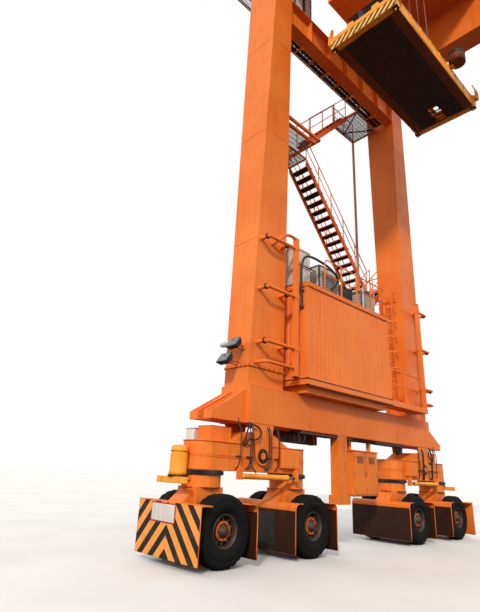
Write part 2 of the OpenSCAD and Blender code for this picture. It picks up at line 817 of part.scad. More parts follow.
// Hoist drum, gearbox, motors and the electrical cubicle on the trolley
module hoist_machinery() {
    z = deck_z + deck;
    drum_z = z + 750;
    color(steel) translate([0, trolley_y, 0]) {
        translate([0, 0, drum_z]) {
            rod_x(drum_r, -1500, 1500);
            for (x = [-1560, 1500]) rod_x(drum_r + 90, x, x + 60);
            rod_x(90, -1800, 1800);
        }
        for (m = [0, 1]) mirror([m, 0, 0]) block([1600, -260, z], [1800, 260, drum_z + 160]);
        block([1800, -500, z], [2500, 700, z + 1150]);
        translate([0, 450, z + 700]) rod_x(260, 1000, 1800);
        block([1050, 300, z], [1650, 600, z + 500]);
        block([-3300, -1300, z], [-2100, 1300, z + 1900]);
    }
}

// Outer size of the cab, in the trolley's frame
cab_x0 = -girder_x + girder_w / 2 + 160;
cab_x1 = cab_x0 + cab_w;

// Cab shell with window openings, a floor and the hangers up to the trolley's deck
module cab_shell() {
    sill = 900;
    head = 350;
    post = 120;
    hanger = 160;
    color(orange) translate([0, trolley_y, 0]) {
        difference() {
            block([cab_x0, -cab_len / 2, cab_z], [cab_x1, cab_len / 2, cab_z + cab_h]);
            block([cab_x0 + cab_wall, -cab_len / 2 + cab_wall, cab_z + cab_wall],
                [cab_x1 - cab_wall, cab_len / 2 - cab_wall, cab_z + cab_h - cab_wall]);
            block([cab_x0 + post, -cab_len / 2 - 1, cab_z + sill],
                [cab_x1 - post, cab_len / 2 + 1, cab_z + cab_h - head]);
            block([cab_x1 - cab_wall - 1, -cab_len / 2 + post, cab_z + 160],
                [cab_x1 + 1, cab_len / 2 - post, cab_z + cab_h - head]);
            block([cab_x1 - 700, -cab_len / 2 + post, cab_z - 1],
                [cab_x1 - post, cab_len / 2 - post, cab_z + cab_wall + 1]);
        }
        for (x = [cab_x0 + 40, cab_x1 - hanger - 40])
            for (y = [-cab_len / 2 + 40, cab_len / 2 - hanger - 40])
                block([x, y, cab_z + cab_h], [x + hanger, y + hanger, deck_z]);
    }
}

// Panes that close the cab's window openings
module cab_windows() {
    sill = 900;
    head = 350;
    post = 120;
    pane = 12;
    color([0.55, 0.72, 0.85, 0.5]) translate([0, trolley_y, 0]) {
        for (m = [0, 1]) mirror([0, m, 0]) block([cab_x0 + post, cab_len / 2 - cab_wall / 2, cab_z + sill],
            [cab_x1 - post, cab_len / 2 - cab_wall / 2 + pane, cab_z + cab_h - head]);
        block([cab_x1 - cab_wall / 2, -cab_len / 2 + post, cab_z + 160],
            [cab_x1 - cab_wall / 2 + pane, cab_len / 2 - post, cab_z + cab_h - head]);
        block([cab_x1 - 700, -cab_len / 2 + post, cab_z + cab_wall / 2],
            [cab_x1 - post, cab_len / 2 - post, cab_z + cab_wall / 2 + pane]);
    }
}

// Places of the headblock's sheaves
sheave_x = 700;
sheave_y = 450;

// Eight falls of rope between the trolley and the headblock
module hoist_ropes() {
    color(dark) translate([0, trolley_y, 0])
        for (x = [-sheave_x, sheave_x]) for (m = [-1, 1]) for (y = [-sheave_y, sheave_y])
            translate([x + m * (sheave_r + rope_r), y, sheave_z])
                cylinder(r = rope_r, h = rope_top - sheave_z);
}

// Headblock: a box with four sheaves above and four feet on the spreader
module headblock() {
    half_x = 1150;
    half_y = 650;
    cheek = 40;
    color(amber) translate([0, trolley_y, 0]) {
        block([-half_x, -half_y, head_z], [half_x, half_y, head_top]);
        for (x = [-half_x + 60, half_x - 260]) for (y = [-half_y, half_y - 200])
            block([x, y, beam_top], [x + 200, y + 200, head_z]);
        for (x = [-sheave_x, sheave_x]) for (y = [-sheave_y, sheave_y]) {
            translate([x, 0, sheave_z]) rod_y(sheave_r - seat, y - 45, y + 45);
            for (k = [-1, 1]) block([x - 120, y + k * 75 - cheek / 2, head_top],
                [x + 120, y + k * 75 + cheek / 2, sheave_z + 100]);
            translate([x, 0, sheave_z]) rod_y(50, y - 95, y + 95);
        }
    }
}

// Spreader's fixed frame: four tunnels for the arms, outer beams and a deck with windows
module spreader_frame() {
    half = beam_len / 2;
    side_w = 130;
    side_y = spreader_w / 2 - side_w - 60;
    web = 26;
    tunnel_w = arm_w + 2 * arm_clear;
    tunnel_h = arm_h + 2 * arm_clear;
    window_x = 1750;
    window = 380;
    pad_len = 200;
    color(dark) translate([0, trolley_y, 0]) difference() {
        along(-half, half) difference() {
            translate([-side_y - side_w, beam_z]) square([2 * (side_y + side_w), beam_h]);
            for (m = [-1, 1]) for (y = [arm_in, arm_out])
                translate([m * y - tunnel_w / 2, arm_z - arm_clear]) square([tunnel_w, tunnel_h]);
            translate([-arm_in + tunnel_w / 2 + web, beam_z - 1])
                square([2 * arm_in - tunnel_w - 2 * web, beam_h - 60]);
        }
        for (x = [window_x, window_x + 620])
            block([x, -window / 2, beam_z - 1], [x + window, window / 2, beam_top + 1]);
    }
    color(dark) translate([0, trolley_y, 0]) both_ends() for (y = [-arm_out, -arm_in, arm_in, arm_out]) {
        block([half - pad_len, y - arm_w / 2, arm_z - arm_clear], [half, y + arm_w / 2, arm_z - seat]);
        block([half - pad_len, y - arm_w / 2, arm_z + arm_h + seat],
            [half, y + arm_w / 2, arm_z + arm_h + arm_clear]);
    }
}

// Lug plates of a flipper's hinge, in the end beam's frame
flipper_y = spreader_w / 2 + 75;
flipper_z = beam_top - 120;
flipper_x = end_x + 20;
flipper_w = 130;

// One end of the spreader: an end beam, two long arms, two twistlocks and the flippers' lugs
module spreader_end(sx, arms) {
    arm_len = 2 * end_x - 700;
    pad_len = 300;
    lock_len = 120;
    lug = 25;
    color(amber) translate([0, trolley_y, 0]) mirror([sx < 0 ? 1 : 0, 0, 0]) {
        block([end_x, -spreader_w / 2, spreader_z], [end_x + end_beam, spreader_w / 2, beam_top]);
        for (y = arms) {
            block([end_x - arm_len, y - arm_w / 2, arm_z], [end_x, y + arm_w / 2, arm_z + arm_h]);
            block([end_x - arm_len, y - arm_w / 2, arm_z - arm_clear + seat],
                [end_x - arm_len + pad_len, y + arm_w / 2, arm_z]);
            block([end_x - arm_len, y - arm_w / 2, arm_z + arm_h],
                [end_x - arm_len + pad_len, y + arm_w / 2, arm_z + arm_h + arm_clear - seat]);
        }
        for (m = [-1, 1]) translate([lock_x / 2, m * lock_y / 2, spreader_z - lock_len])
            cylinder(r = lock_r, h = lock_len);
        for (m = [0, 1]) mirror([0, m, 0])
            for (x = [flipper_x - lug - 5, flipper_x + flipper_w + 5]) difference() {
                block([x, spreader_w / 2, flipper_z - 80], [x + lug, flipper_y + 60, flipper_z + 80]);
                translate([0, flipper_y, flipper_z]) rod_x(flipper_pin + pin_clear, x - 1, x + lug + 1);
            }
    }
}

// Radius of a flipper's hinge pin
flipper_pin = 30;

// Corner guide of the spreader, raised above its hinge, with its pin
module flipper(sx, sy) {
    hub = 60;
    thick = 40;
    lean = 70;
    color(amber) translate([0, trolley_y, 0]) mirror([sx < 0 ? 1 : 0, 0, 0])
        mirror([0, sy < 0 ? 1 : 0, 0]) translate([0, flipper_y, flipper_z]) {
            rod_x(hub, flipper_x, flipper_x + flipper_w);
            rod_x(flipper_pin, flipper_x - 40, flipper_x + flipper_w + 40);
            along(flipper_x, flipper_x + flipper_w) polygon([
                [-thick / 2, 0], [thick / 2, 0], [thick / 2, flipper_len * 0.6],
                [thick / 2 - lean, flipper_len], [-thick / 2 - lean, flipper_len],
                [-thick / 2, flipper_len * 0.6]]);
        }
}

// Frame of a bogie: X outwards along the crane, Y outwards across it
module bogie(i) {
    translate([(i % 2 == 1 ? -1 : 1) * bogie_x, (i <= 2 ? 1 : -1) * span / 2, 0])
        mirror([i % 2 == 1 ? 1 : 0, 0, 0]) mirror([0, i <= 2 ? 0 : 1, 0]) children();
}

// Frame of a yoke on its kingpin; the outer yoke of a bogie comes first
module on_king(i) {
    outer = i % 2 == 1;
    bogie(ceil(i / 2)) translate([(outer ? 1 : -1) * axle_pitch / 2, 0, 0])
        mirror([outer ? 0 : 1, 0, 0]) children();
}

// Bogie beam on its rocker pin, with slewing rings, a post and the steering cylinder
module bogie_beam(i) {
    half = axle_pitch / 2;
    hump = 300;
    ring_r = 460;
    boss = 60;
    boss_out = saddle_w / 2 + 30;
    pin_out = saddle_w / 2 + 35 + plate + 25;
    cyl_y = -saddle_w / 2 - 85;
    cyl_z = saddle_z - 100;
    cyl_r = 65;
    cyl_in = -900;
    cyl_out = 750;
    rod_in = -1200;
    bracket = 90;
    color(orange) bogie(i) {
        difference() {
            union() {
                block([-half, -saddle_w / 2, saddle_z], [half, saddle_w / 2, saddle_top]);
                for (x = [-half, half]) {
                    translate([x, 0, saddle_z]) cylinder(r = saddle_w / 2, h = saddle_top - saddle_z);
                    translate([x, 0, yoke_top + seat]) cylinder(r = ring_r, h = saddle_z - yoke_top - seat);
                }
                across(-saddle_w / 2, saddle_w / 2) polygon([
                    [-1050, saddle_top], [1050, saddle_top],
                    [430, saddle_top + hump], [-430, saddle_top + hump]]);
            }
            for (x = [-half, half]) translate([x, 0, yoke_top]) cylinder(r = king_r + pin_clear, h = 480);
        }
        translate([0, 0, pin_z]) {
            rod_y(pin_r + boss, -boss_out, boss_out);
            rod_y(pin_r, -pin_out, pin_out);
        }
        block([850, -250, saddle_top], [1500, 250, saddle_top + 360]);
        translate([0, cyl_y, cyl_z]) {
            rod_x(cyl_r, cyl_in, cyl_out);
            rod_x(cyl_r / 2, rod_in, cyl_in + 20);
        }
        for (x = [rod_in - bracket, cyl_out]) {
            block([x, cyl_y - cyl_r, cyl_z - 80], [x + bracket, cyl_y + cyl_r, saddle_z + 120]);
            block([x, cyl_y - cyl_r, saddle_z], [x + bracket, -saddle_w / 2 + 40, saddle_z + 120]);
        }
    }
}

// A tyre guard across an axle at -X: a plate whose top curls over the tyres, and its arm
module tyre_guard() {
    sheet = 16;
    curl = 150;
    lap = 560;
    across(-guard_w / 2, guard_w / 2) {
        translate([-guard_reach, guard_low]) square([sheet, guard_top - curl - guard_low]);
        translate([-guard_reach + curl, guard_top - curl]) intersection() {
            difference() {
                circle(r = curl);
                circle(r = curl - sheet);
            }
            translate([-curl, 0]) square([curl, curl]);
        }
        translate([-guard_reach + curl, guard_top - sheet]) square([guard_reach - curl - lap, sheet]);
    }
    across(-260, 260) polygon([
        [-370, 1560], [-guard_reach + sheet - 2, guard_top - curl],
        [-guard_reach + sheet - 2, 850], [-370, 1050]]);
}

// Steered yoke between an axle's two tyres, with its kingpin and guards
module yoke(i) {
    outer = i % 2 == 1;
    half_y = 340;
    flange_r = 460;
    flange_low = yoke_top - 250;
    sheet = 20;
    lap = 560;
    motor_x = 690;
    motor_r = 180;
    shelf = yoke_top - 50;
    color(orange) on_king(i) {
        difference() {
            across(-half_y, half_y) polygon([
                [-250, axle_z - 245], [250, axle_z - 245], [380, 1100],
                [400, flange_low], [-400, flange_low], [-380, 1100]]);
            translate([0, 0, axle_z]) rod_y(axle_r + pin_clear, -half_y - 1, half_y + 1);
        }
        translate([0, 0, flange_low]) cylinder(r = flange_r, h = yoke_top - flange_low);
        translate([0, 0, yoke_top]) cylinder(r = king_r, h = 440);
        tyre_guard();
        if (outer) {
            block([guard_reach, -bumper_w / 2, guard_low],
                [guard_reach + sheet, bumper_w / 2, guard_top - 20]);
            block([lap, -bumper_w / 2, guard_top - 40], [guard_reach, bumper_w / 2, guard_top - 20]);
            across(-260, 260) polygon([
                [370, 1560], [guard_reach + 2, 1150], [guard_reach + 2, 850], [370, 1050]]);
            block([300, -motor_r, shelf - 60], [guard_reach + sheet, motor_r, shelf]);
            translate([motor_x, 0, shelf]) cylinder(r = motor_r, h = 640);
        } else
            mirror([1, 0, 0]) tyre_guard();
    }
}

// Axle between two wheels with their tyres; each wheel is one turned shape on the axle's flat end
module wheel_pair(i) {
    r = tyre_d / 2;
    near = tyre_gap / 2 - tyre_w / 2;
    far = wheel_out;
    disc = near + 110;
    well = rim_r - 25;
    hub = 190;
    wheel = [
        [0, disc], [well, disc], [well, near + 20], [rim_r + 40, near + 20], [r * 0.75, near],
        [r - 45, near + 25], [r, near + 75], [r, far - 75], [r - 45, far - 25], [r * 0.75, far],
        [rim_r + 40, far - 20], [well, far - 20], [well, disc + 40], [hub, disc + 40], [hub, far - 40],
        [hub - 40, far + 10], [0, far + 10]];
    color(rubber) on_king(i) translate([0, 0, axle_z]) {
        rod_y(axle_r, -disc + seat, disc - seat);
        for (m = [0, 1]) mirror([0, m, 0]) rotate([-90, 0, 0]) rotate_extrude() polygon(wheel);
    }
}

sill_beams();
rocker_ears();
legs();
girders();
end_ties();
trolley_rails();
walkways();
handrails();
house_base();
power_house();
roof_units();
roof_rails();
control_house();
leg_guards();
leg_ladder();
stair_lower();
stair_middle();
stair_upper();
stair_platforms();
stair_rails();
sill_cabinets();
cable_tray();
festoon_rail();
festoon_cable();
floodlights();
trolley_frame();
trolley_wheels();
hoist_machinery();
cab_shell();
cab_windows();
hoist_ropes();
headblock();
spreader_frame();
spreader_end(-1, [-arm_out, arm_in]);  // spreader_end_a
spreader_end(1, [-arm_in, arm_out]);  // spreader_end_b
for (i = [1:4]) {
    flipper(i % 2 == 1 ? -1 : 1, i <= 2 ? 1 : -1);
    bogie_beam(i);
}
for (i = [1:8]) {
    yoke(i);
    wheel_pair(i);
}
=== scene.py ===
import math

import bpy
import numpy as np
from mathutils import Matrix, Vector


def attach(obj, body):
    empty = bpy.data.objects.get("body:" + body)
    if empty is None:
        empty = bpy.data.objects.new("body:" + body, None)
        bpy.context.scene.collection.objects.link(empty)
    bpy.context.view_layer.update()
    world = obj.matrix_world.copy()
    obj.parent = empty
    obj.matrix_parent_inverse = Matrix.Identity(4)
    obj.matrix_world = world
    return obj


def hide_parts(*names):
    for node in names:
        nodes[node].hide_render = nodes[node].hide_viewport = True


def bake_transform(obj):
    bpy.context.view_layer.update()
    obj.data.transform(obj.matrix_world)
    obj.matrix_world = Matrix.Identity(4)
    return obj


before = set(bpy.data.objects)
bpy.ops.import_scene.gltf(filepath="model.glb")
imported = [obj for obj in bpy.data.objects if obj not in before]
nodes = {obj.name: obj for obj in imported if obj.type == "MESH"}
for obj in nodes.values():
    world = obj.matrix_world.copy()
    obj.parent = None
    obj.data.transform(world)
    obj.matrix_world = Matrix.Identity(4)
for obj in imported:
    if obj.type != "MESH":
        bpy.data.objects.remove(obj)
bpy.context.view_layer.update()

# The camera stands where the photographer stood
eye = Vector((-13.2, 2.585, 1.954))
look = Vector((0.6358, 0.6958, 0.3341)).normalized()
rise = Vector((-0.2619, -0.2126, 0.9414))
across_view = look.cross(rise).normalized()
rise = across_view.cross(look)
camera = bpy.data.objects.new("camera", bpy.data.cameras.new("camera"))
bpy.context.scene.collection.objects.link(camera)
camera.matrix_world = Matrix.Translation(eye) @ Matrix((across_view, rise, -look)).transposed().to_4x4()
camera.data.sensor_width = 36
camera.data.lens = 27.56
camera.data.clip_end = 500
bpy.context.scene.camera = camera

# Sizes that the pieces share with the solids
frame_y = 11.735
bogie_x = 4.3
half_pitch = 1.5
axle_z = 0.745
tyre_y = 0.765
trolley_y = 8.525
sill_z, sill_top = 3.14, 4.12
girder_z, girder_top = 20.1, 21.7
girder_x, girder_w = 3.99, 0.9
walk_in = girder_x + girder_w / 2
walk_out = walk_in + 0.7
reach_y = 14.205
tie_walk_x, tie_walk_z = 3.39, 17.69
house_lo = np.array([-3.1, -1.0, 4.48])
house_hi = np.array([1.3, 1.1, 7.23])
roof_z = 7.37
deck_top = 22.44
rail_height = 1.1
spreader_low, spreader_top = 15.7, 16.2


def srgb(red, green, blue):
    """A colour as it looks on a screen, from 0 to 255, as the linear light that a shader takes."""
    share = np.array([red, green, blue]) / 255
    return tuple(np.where(share <= 0.04045, share / 12.92, ((share + 0.055) / 1.055) ** 2.4)) + (1.0,)


class Finish:
    """A material whose nodes read Object coordinates, with a short way to add and link them."""

    def __init__(self, name):
        self.material = bpy.data.materials.new(name)
        self.material.use_nodes = True
        self.tree = self.material.node_tree
        self.shader = self.tree.nodes["Principled BSDF"]
        self.place = self.node("ShaderNodeTexCoord").outputs["Object"]

    def node(self, kind, inputs=None, **settings):
        """A new node of that kind, with its settings and its inputs fed."""
        made = self.tree.nodes.new(kind)
        for key, value in settings.items():
            setattr(made, key, value)
        for key, value in (inputs or {}).items():
            self.feed(made.inputs[key], value)
        return made

    def feed(self, socket, value):
        """Links a node's output to the socket, or sets a plain value on it."""
        if isinstance(value, bpy.types.NodeSocket):
            self.tree.links.new(value, socket)
        else:
            socket.default_value = value

    def combine(self, kind, a, b=0.0):
        """One Math node of that kind on a and b."""
        return self.node("ShaderNodeMath", {0: a, 1: b}, operation=kind).outputs[0]

    def noise(self, scale, detail=3.0, stretch=(1, 1, 1), roughness=0.55):
        """Fractal noise from 0 to 1, with the pattern stretched along the axes."""
        vector = self.node("ShaderNodeMapping", {"Vector": self.place, "Scale": stretch}).outputs[0]
        return self.node("ShaderNodeTexNoise", {"Vector": vector, "Scale": scale, "Detail": detail,
                                                "Roughness": roughness}).outputs["Fac"]

    def ramp(self, value, low, high, to_low=0.0, to_high=1.0):
        """value taken from the range low..high to the range to_low..to_high, and held there."""
        return self.node("ShaderNodeMapRange", {"Value": value, "From Min": low, "From Max": high,
                                                "To Min": to_low, "To Max": to_high}).outputs[0]

    def mix(self, factor, a, b):
        """Colour a turning into colour b as factor goes from 0 to 1."""
        made = self.node("ShaderNodeMix", data_type="RGBA")
        for socket, value in ((made.inputs[0], factor), (made.inputs[6], a), (made.inputs[7], b)):
            self.feed(socket, value)
        return made.outputs[2]

    def bump(self, height, distance, strength):
        """Tilts the surface's normals as if it stood out by height times distance."""
        made = self.node("ShaderNodeBump", {"Height": height, "Distance": distance, "Strength": strength})
        self.tree.links.new(made.outputs[0], self.shader.inputs["Normal"])

    def done(self, colour, roughness, metallic=0.0):
        """Feeds the colour and the roughness to the shader and returns the material."""
        self.feed(self.shader.inputs["Base Color"], colour)
        self.feed(self.shader.inputs["Roughness"], roughness)
        self.shader.inputs["Metallic"].default_value = metallic
        return self.material


def paint(name, colour, faded, grime, dirt, chips):
    """Weathered paint: faded patches, streaks running down, dust near the ground, rusty chips and a grain."""
    f = Finish(name)
    patches = f.ramp(f.noise(0.55, 5.0), 0.35, 0.7)
    skin = f.mix(patches, srgb(*colour), srgb(*faded))
    streaks = f.ramp(f.noise(2.4, 4.0, (3.2, 3.2, 0.22)), 0.52, 0.78, 0.0, dirt)
    skin = f.mix(streaks, skin, srgb(*grime))
    mottle = f.ramp(f.noise(7.0, 6.0, roughness=0.7), 0.45, 0.75, 0.0, dirt * 0.6)
    skin = f.mix(mottle, skin, srgb(*grime))
    low = f.ramp(f.node("ShaderNodeSeparateXYZ", {0: f.place}).outputs[2], 0.1, 1.7, dirt * 0.9, 0.0)
    skin = f.mix(low, skin, srgb(*grime))
    rust = f.ramp(f.noise(21.0, 7.0, roughness=0.75), chips, chips + 0.08, 0.0, 0.8)
    skin = f.mix(rust, skin, srgb(92, 48, 26))
    rough = f.ramp(f.noise(3.1, 4.0), 0.3, 0.7, 0.36, 0.6)
    height = f.combine("ADD", f.noise(70.0, 2.0), f.combine("MULTIPLY", f.noise(1.3, 2.0), 2.5))
    f.bump(height, 0.004, 0.25)
    f.shader.inputs["Specular IOR Level"].default_value = 0.22
    return f.done(skin, rough)


def striped(name, light, dark, period, chevron):
    """Hazard stripes: dark where the fraction of (height + 1.08 times the distance from the middle) / period
    is over 0.52."""
    f = Finish(name)
    x, y, z = f.node("ShaderNodeSeparateXYZ", {0: f.place}).outputs
    middle = f.combine("ABSOLUTE", f.combine("SUBTRACT", f.combine("ABSOLUTE", y), frame_y)) if chevron else y
    slope = f.combine("ADD", f.combine("ADD", z, 0.115), f.combine("MULTIPLY", middle, 1.08))
    turn = f.combine("FRACT", f.combine("ADD", f.combine("DIVIDE", slope, period), 40.0))
    stripe = f.combine("GREATER_THAN", turn, 0.52)
    dirt = f.ramp(f.noise(5.0, 6.0, roughness=0.7), 0.5, 0.8, 0.0, 0.55)
    skin = f.mix(dirt, f.mix(stripe, srgb(*light), srgb(*dark)), srgb(96, 70, 48))
    f.bump(f.noise(60.0, 2.0), 0.003, 0.2)
    return f.done(skin, f.ramp(f.noise(4.0), 0.3, 0.7, 0.4, 0.62))


def metal(name, colour, worn, metallic, rough):
    """Bare or dark metal with a mottle of worn patches and fine scratches."""
    f = Finish(name)
    skin = f.mix(f.ramp(f.noise(6.0, 6.0, roughness=0.7), 0.4, 0.7), srgb(*colour), srgb(*worn))
    f.bump(f.noise(90.0, 3.0, (1, 1, 0.2)), 0.002, 0.3)
    return f.done(skin, f.ramp(f.noise(9.0, 4.0), 0.3, 0.7, rough - 0.1, rough + 0.12), metallic)


def rubber_finish():
    """Tyre rubber: near black, greyed by road dust, with a fine grain."""
    f = Finish("tyre_rubber")
    skin = f.mix(f.ramp(f.noise(3.0, 6.0, roughness=0.7), 0.4, 0.75, 0.0, 0.5), srgb(10, 10, 10),
                 srgb(30, 28, 25))
    f.bump(f.noise(120.0, 3.0), 0.002, 0.35)
    f.shader.inputs["Specular IOR Level"].default_value = 0.2
    return f.done(skin, f.ramp(f.noise(8.0, 3.0), 0.3, 0.7, 0.7, 0.9))


def pane_finish():
    """Tinted cab glass that lets light through."""
    f = Finish("cab_glass")
    f.shader.inputs["Transmission Weight"].default_value = 0.75
    f.shader.inputs["IOR"].default_value = 1.45
    streaks = f.ramp(f.noise(2.0, 4.0, (3, 3, 0.4)), 0.4, 0.8)
    return f.done(f.mix(streaks, srgb(150, 190, 215), srgb(110, 150, 180)), 0.06)


def lamp_finish():
    """Ribbed grey lamp glass."""
    f = Finish("lamp_lens")
    across = f.node("ShaderNodeSeparateXYZ", {0: f.place}).outputs[1]
    ribs = f.combine("SINE", f.combine("MULTIPLY", across, 260.0))
    f.bump(ribs, 0.002, 0.5)
    return f.done(f.mix(f.ramp(f.noise(30.0), 0.4, 0.7), srgb(84, 88, 92), srgb(120, 124, 128)), 0.3)


orange = paint("orange_paint", (222, 106, 30), (232, 124, 48), (124, 60, 30), 0.18, 0.7)
stair_orange = paint("stair_orange", (215, 86, 26), (222, 100, 38), (110, 50, 28), 0.25, 0.68)
bogie_orange = paint("bogie_orange", (228, 110, 30), (236, 128, 46), (92, 46, 24), 0.34, 0.65)
house_orange = paint("house_orange", (228, 112, 36), (236, 126, 52), (142, 72, 38), 0.2, 0.71)
amber = paint("amber_paint", (238, 148, 38), (242, 164, 62), (110, 66, 30), 0.35, 0.65)
guard_brown = paint("guard_brown", (54, 27, 15), (80, 38, 19), (26, 20, 16), 0.7, 0.64)
cabinet_orange = paint("cabinet_orange", (222, 106, 26), (232, 128, 40), (110, 60, 26), 0.4, 0.64)
deep_brown = paint("deep_brown", (104, 52, 20), (124, 66, 28), (44, 26, 16), 0.5, 0.64)
pole_paint = paint("pole_paint", (170, 120, 100), (180, 132, 112), (96, 64, 50), 0.3, 0.68)
tread_steel = metal("tread_steel", (34, 24, 20), (62, 40, 30), 0.2, 0.6)
grating_steel = metal("grating_steel", (62, 40, 32), (96, 58, 42), 0.2, 0.6)
black_steel = metal("black_steel", (28, 27, 28), (54, 50, 47), 0.3, 0.5)
bare_steel = metal("bare_steel", (150, 147, 142), (104, 96, 88), 0.85, 0.38)
wheel_steel = metal("wheel_steel", (52, 42, 36), (84, 58, 42), 0.2, 0.6)
hub_orange = paint("hub_orange", (226, 112, 34), (214, 98, 30), (70, 44, 28), 0.6, 0.6)
unit_grey = paint("unit_grey", (190, 184, 172), (206, 200, 188), (92, 78, 64), 0.6, 0.66)
unit_dark = paint("unit_dark", (70, 66, 62), (92, 86, 80), (38, 32, 28), 0.6, 0.7)
hose_black = metal("hose_black", (24, 23, 24), (46, 42, 40), 0.0, 0.55)
sign_white = paint("sign_white", (214, 206, 198), (226, 220, 214), (150, 120, 100), 0.4, 0.7)
sign_red = paint("sign_red", (172, 44, 46), (190, 60, 56), (90, 40, 34), 0.4, 0.7)
chevrons = striped("chevrons", (244, 150, 62), (22, 20, 19), 0.47, True)
slant_stripes = striped("slant_stripes", (240, 178, 72), (34, 26, 22), 0.26, False)
tyre_rubber = rubber_finish()
cab_glass = pane_finish()
lamp_lens = lamp_finish()


def carry(rings, closed=False):
    """A closed shell: the same loop of points on every ring, joined from ring to ring, and capped at both
    ends or joined round to the first ring."""
    rings = np.asarray(rings, float)
    n, m = rings.shape[:2]
    i = np.arange(n if closed else n - 1)[:, None]
    j = np.arange(m)[None, :]
    corners = [i * m + j, i * m + (j + 1) % m, (i + 1) % n * m + (j + 1) % m, (i + 1) % n * m + j]
    quads = np.stack(np.broadcast_arrays(*corners), -1).reshape(-1, 4)
    caps = [] if closed else [list(range(m))[::-1], list(range((n - 1) * m, n * m))]
    return rings.reshape(-1, 3), quads, caps


def bar(lo, hi, edge):
    """A block with chamfered edges: an eight-cornered outline carried up through four rings, inset by edge at
    each end."""
    lo, hi = np.minimum(lo, hi).astype(float), np.maximum(lo, hi).astype(float)
    edge = min(edge, (hi - lo).min() / 3)
    rings = []
    for z, inset in ((lo[2], edge), (lo[2] + edge, 0), (hi[2] - edge, 0), (hi[2], edge)):
        x0, x1, y0, y1 = lo[0] + inset, hi[0] - inset, lo[1] + inset, hi[1] - inset
        e = edge if inset == 0 else edge * 0.5
        rings.append([(x0 + e, y0, z), (x1 - e, y0, z), (x1, y0 + e, z), (x1, y1 - e, z),
                      (x1 - e, y1, z), (x0 + e, y1, z), (x0, y1 - e, z), (x0, y0 + e, z)])
    return carry(rings)


def bars(lo, hi):
    """Many plain slats at once: eight corners each, from arrays of lowest and highest corners."""
    lo, hi = np.asarray(lo, float), np.asarray(hi, float)
    pick = np.array([[0, 0, 0], [1, 0, 0], [1, 1, 0], [0, 1, 0], [0, 0, 1], [1, 0, 1], [1, 1, 1], [0, 1, 1]])
    points = lo[:, None, :] + (hi - lo)[:, None, :] * pick[None]
    sides = np.array([[0, 3, 2, 1], [4, 5, 6, 7], [0, 1, 5, 4], [1, 2, 6, 5], [2, 3, 7, 6], [3, 0, 4, 7]])
    quads = (np.arange(len(lo)) * 8)[:, None, None] + sides[None]
    return points.reshape(-1, 3), quads.reshape(-1, 4), []


def turned(profile, centre, axis, sides):
    """A lathe shape: for each (radius, height) of the profile a circle about the axis, carried along and
    capped."""
    profile = np.asarray(profile, float)
    turn = np.linspace(0, 2 * math.pi, sides, endpoint=False)
    rings = np.zeros((len(profile), sides, 3))
    u, v = [(1, 2), (2, 0), (0, 1)][axis]
    rings[:, :, u] = profile[:, :1] * np.cos(turn)
    rings[:, :, v] = profile[:, :1] * np.sin(turn)
    rings[:, :, axis] = profile[:, 1:]
    return carry(rings + np.asarray(centre, float))


def hoop(profile, centre, axis, sides, relief=None):
    """A ring: a closed profile of (radius, height) turned about the axis; relief lowers the radius by turn
    and height."""
    profile = np.asarray(profile, float)
    turn = np.linspace(0, 2 * math.pi, sides, endpoint=False)[:, None]
    radius = profile[None, :, 0] - (relief(turn, profile[None, :, 0], profile[None, :, 1]) if relief else 0)
    rings = np.zeros((sides, len(profile), 3))
    u, v = [(1, 2), (2, 0), (0, 1)][axis]
    rings[:, :, u] = radius * np.cos(turn)
    rings[:, :, v] = radius * np.sin(turn)
    rings[:, :, axis] = profile[None, :, 1]
    return carry(rings + np.asarray(centre, float), closed=True)


def tube(path, radius, sides, smooth=0):
    """A round tube: a circle carried along the path, square to it, with its first radius also square to a
    direction that the path keeps off. With smooth, the path is first rounded: each pass puts points a
    quarter and three quarters of the way along every stretch."""
    path = np.asarray(path, float)
    for _ in range(smooth):
        a, b = path[:-1], path[1:]
        mids = np.stack([a * 0.75 + b * 0.25, a * 0.25 + b * 0.75], 1).reshape(-1, 3)
        path = np.vstack([path[:1], mids, path[-1:]])
    step = np.diff(path, axis=0)
    step /= np.linalg.norm(step, axis=1)[:, None]
    along = np.vstack([step[:1], step[:-1] + step[1:], step[-1:]])
    along /= np.linalg.norm(along, axis=1)[:, None]
    level = abs(along[:, 2]).max() < 0.95
    other = np.array([0.0, 0.0, 1.0]) if level else np.array([0.35, 0.9, 0.25])
    if np.abs(along @ other).max() > 0.98:
        other = np.array([0.93, -0.33, 0.11])
    u = np.cross(along, other)
    u /= np.linalg.norm(u, axis=1)[:, None]
    v = np.cross(along, u)
    turn = np.linspace(0, 2 * math.pi, sides, endpoint=False)
    circle = np.cos(turn)[None, :, None] * u[:, None] + np.sin(turn)[None, :, None] * v[:, None]
    return carry(path[:, None] + radius * circle)


def ribbed(start, stop, base_z, top_z, out):
    """A profiled wall sheet from start to stop (X, Y): its face stands out by depth times a trapezoid wave of
    the length."""
    depth, pitch, thick = 0.011, 0.19, 0.012
    start, stop, out = np.array(start, float), np.array(stop, float), np.array(out, float)
    length = np.linalg.norm(stop - start)
    count = max(1, round(length / pitch))
    wave = np.array([0.0, 0.12, 0.2, 0.8, 0.88])
    rise_of = np.array([0.0, 0.0, 1.0, 1.0, 0.0])
    t = np.append((np.arange(count)[:, None] + wave[None]).ravel() / count, 1.0)
    h = np.append(np.tile(rise_of, count), 0.0) * depth
    ground = start[None] + (stop - start)[None] * t[:, None]
    face = ground + out[None] * (h + thick)[:, None]
    rings = np.zeros((len(t), 4, 3))
    for k, (flat, z) in enumerate(((ground, base_z), (face, base_z), (face, top_z), (ground, top_z))):
        rings[:, k, :2] = flat
        rings[:, k, 2] = z
    return carry(rings)


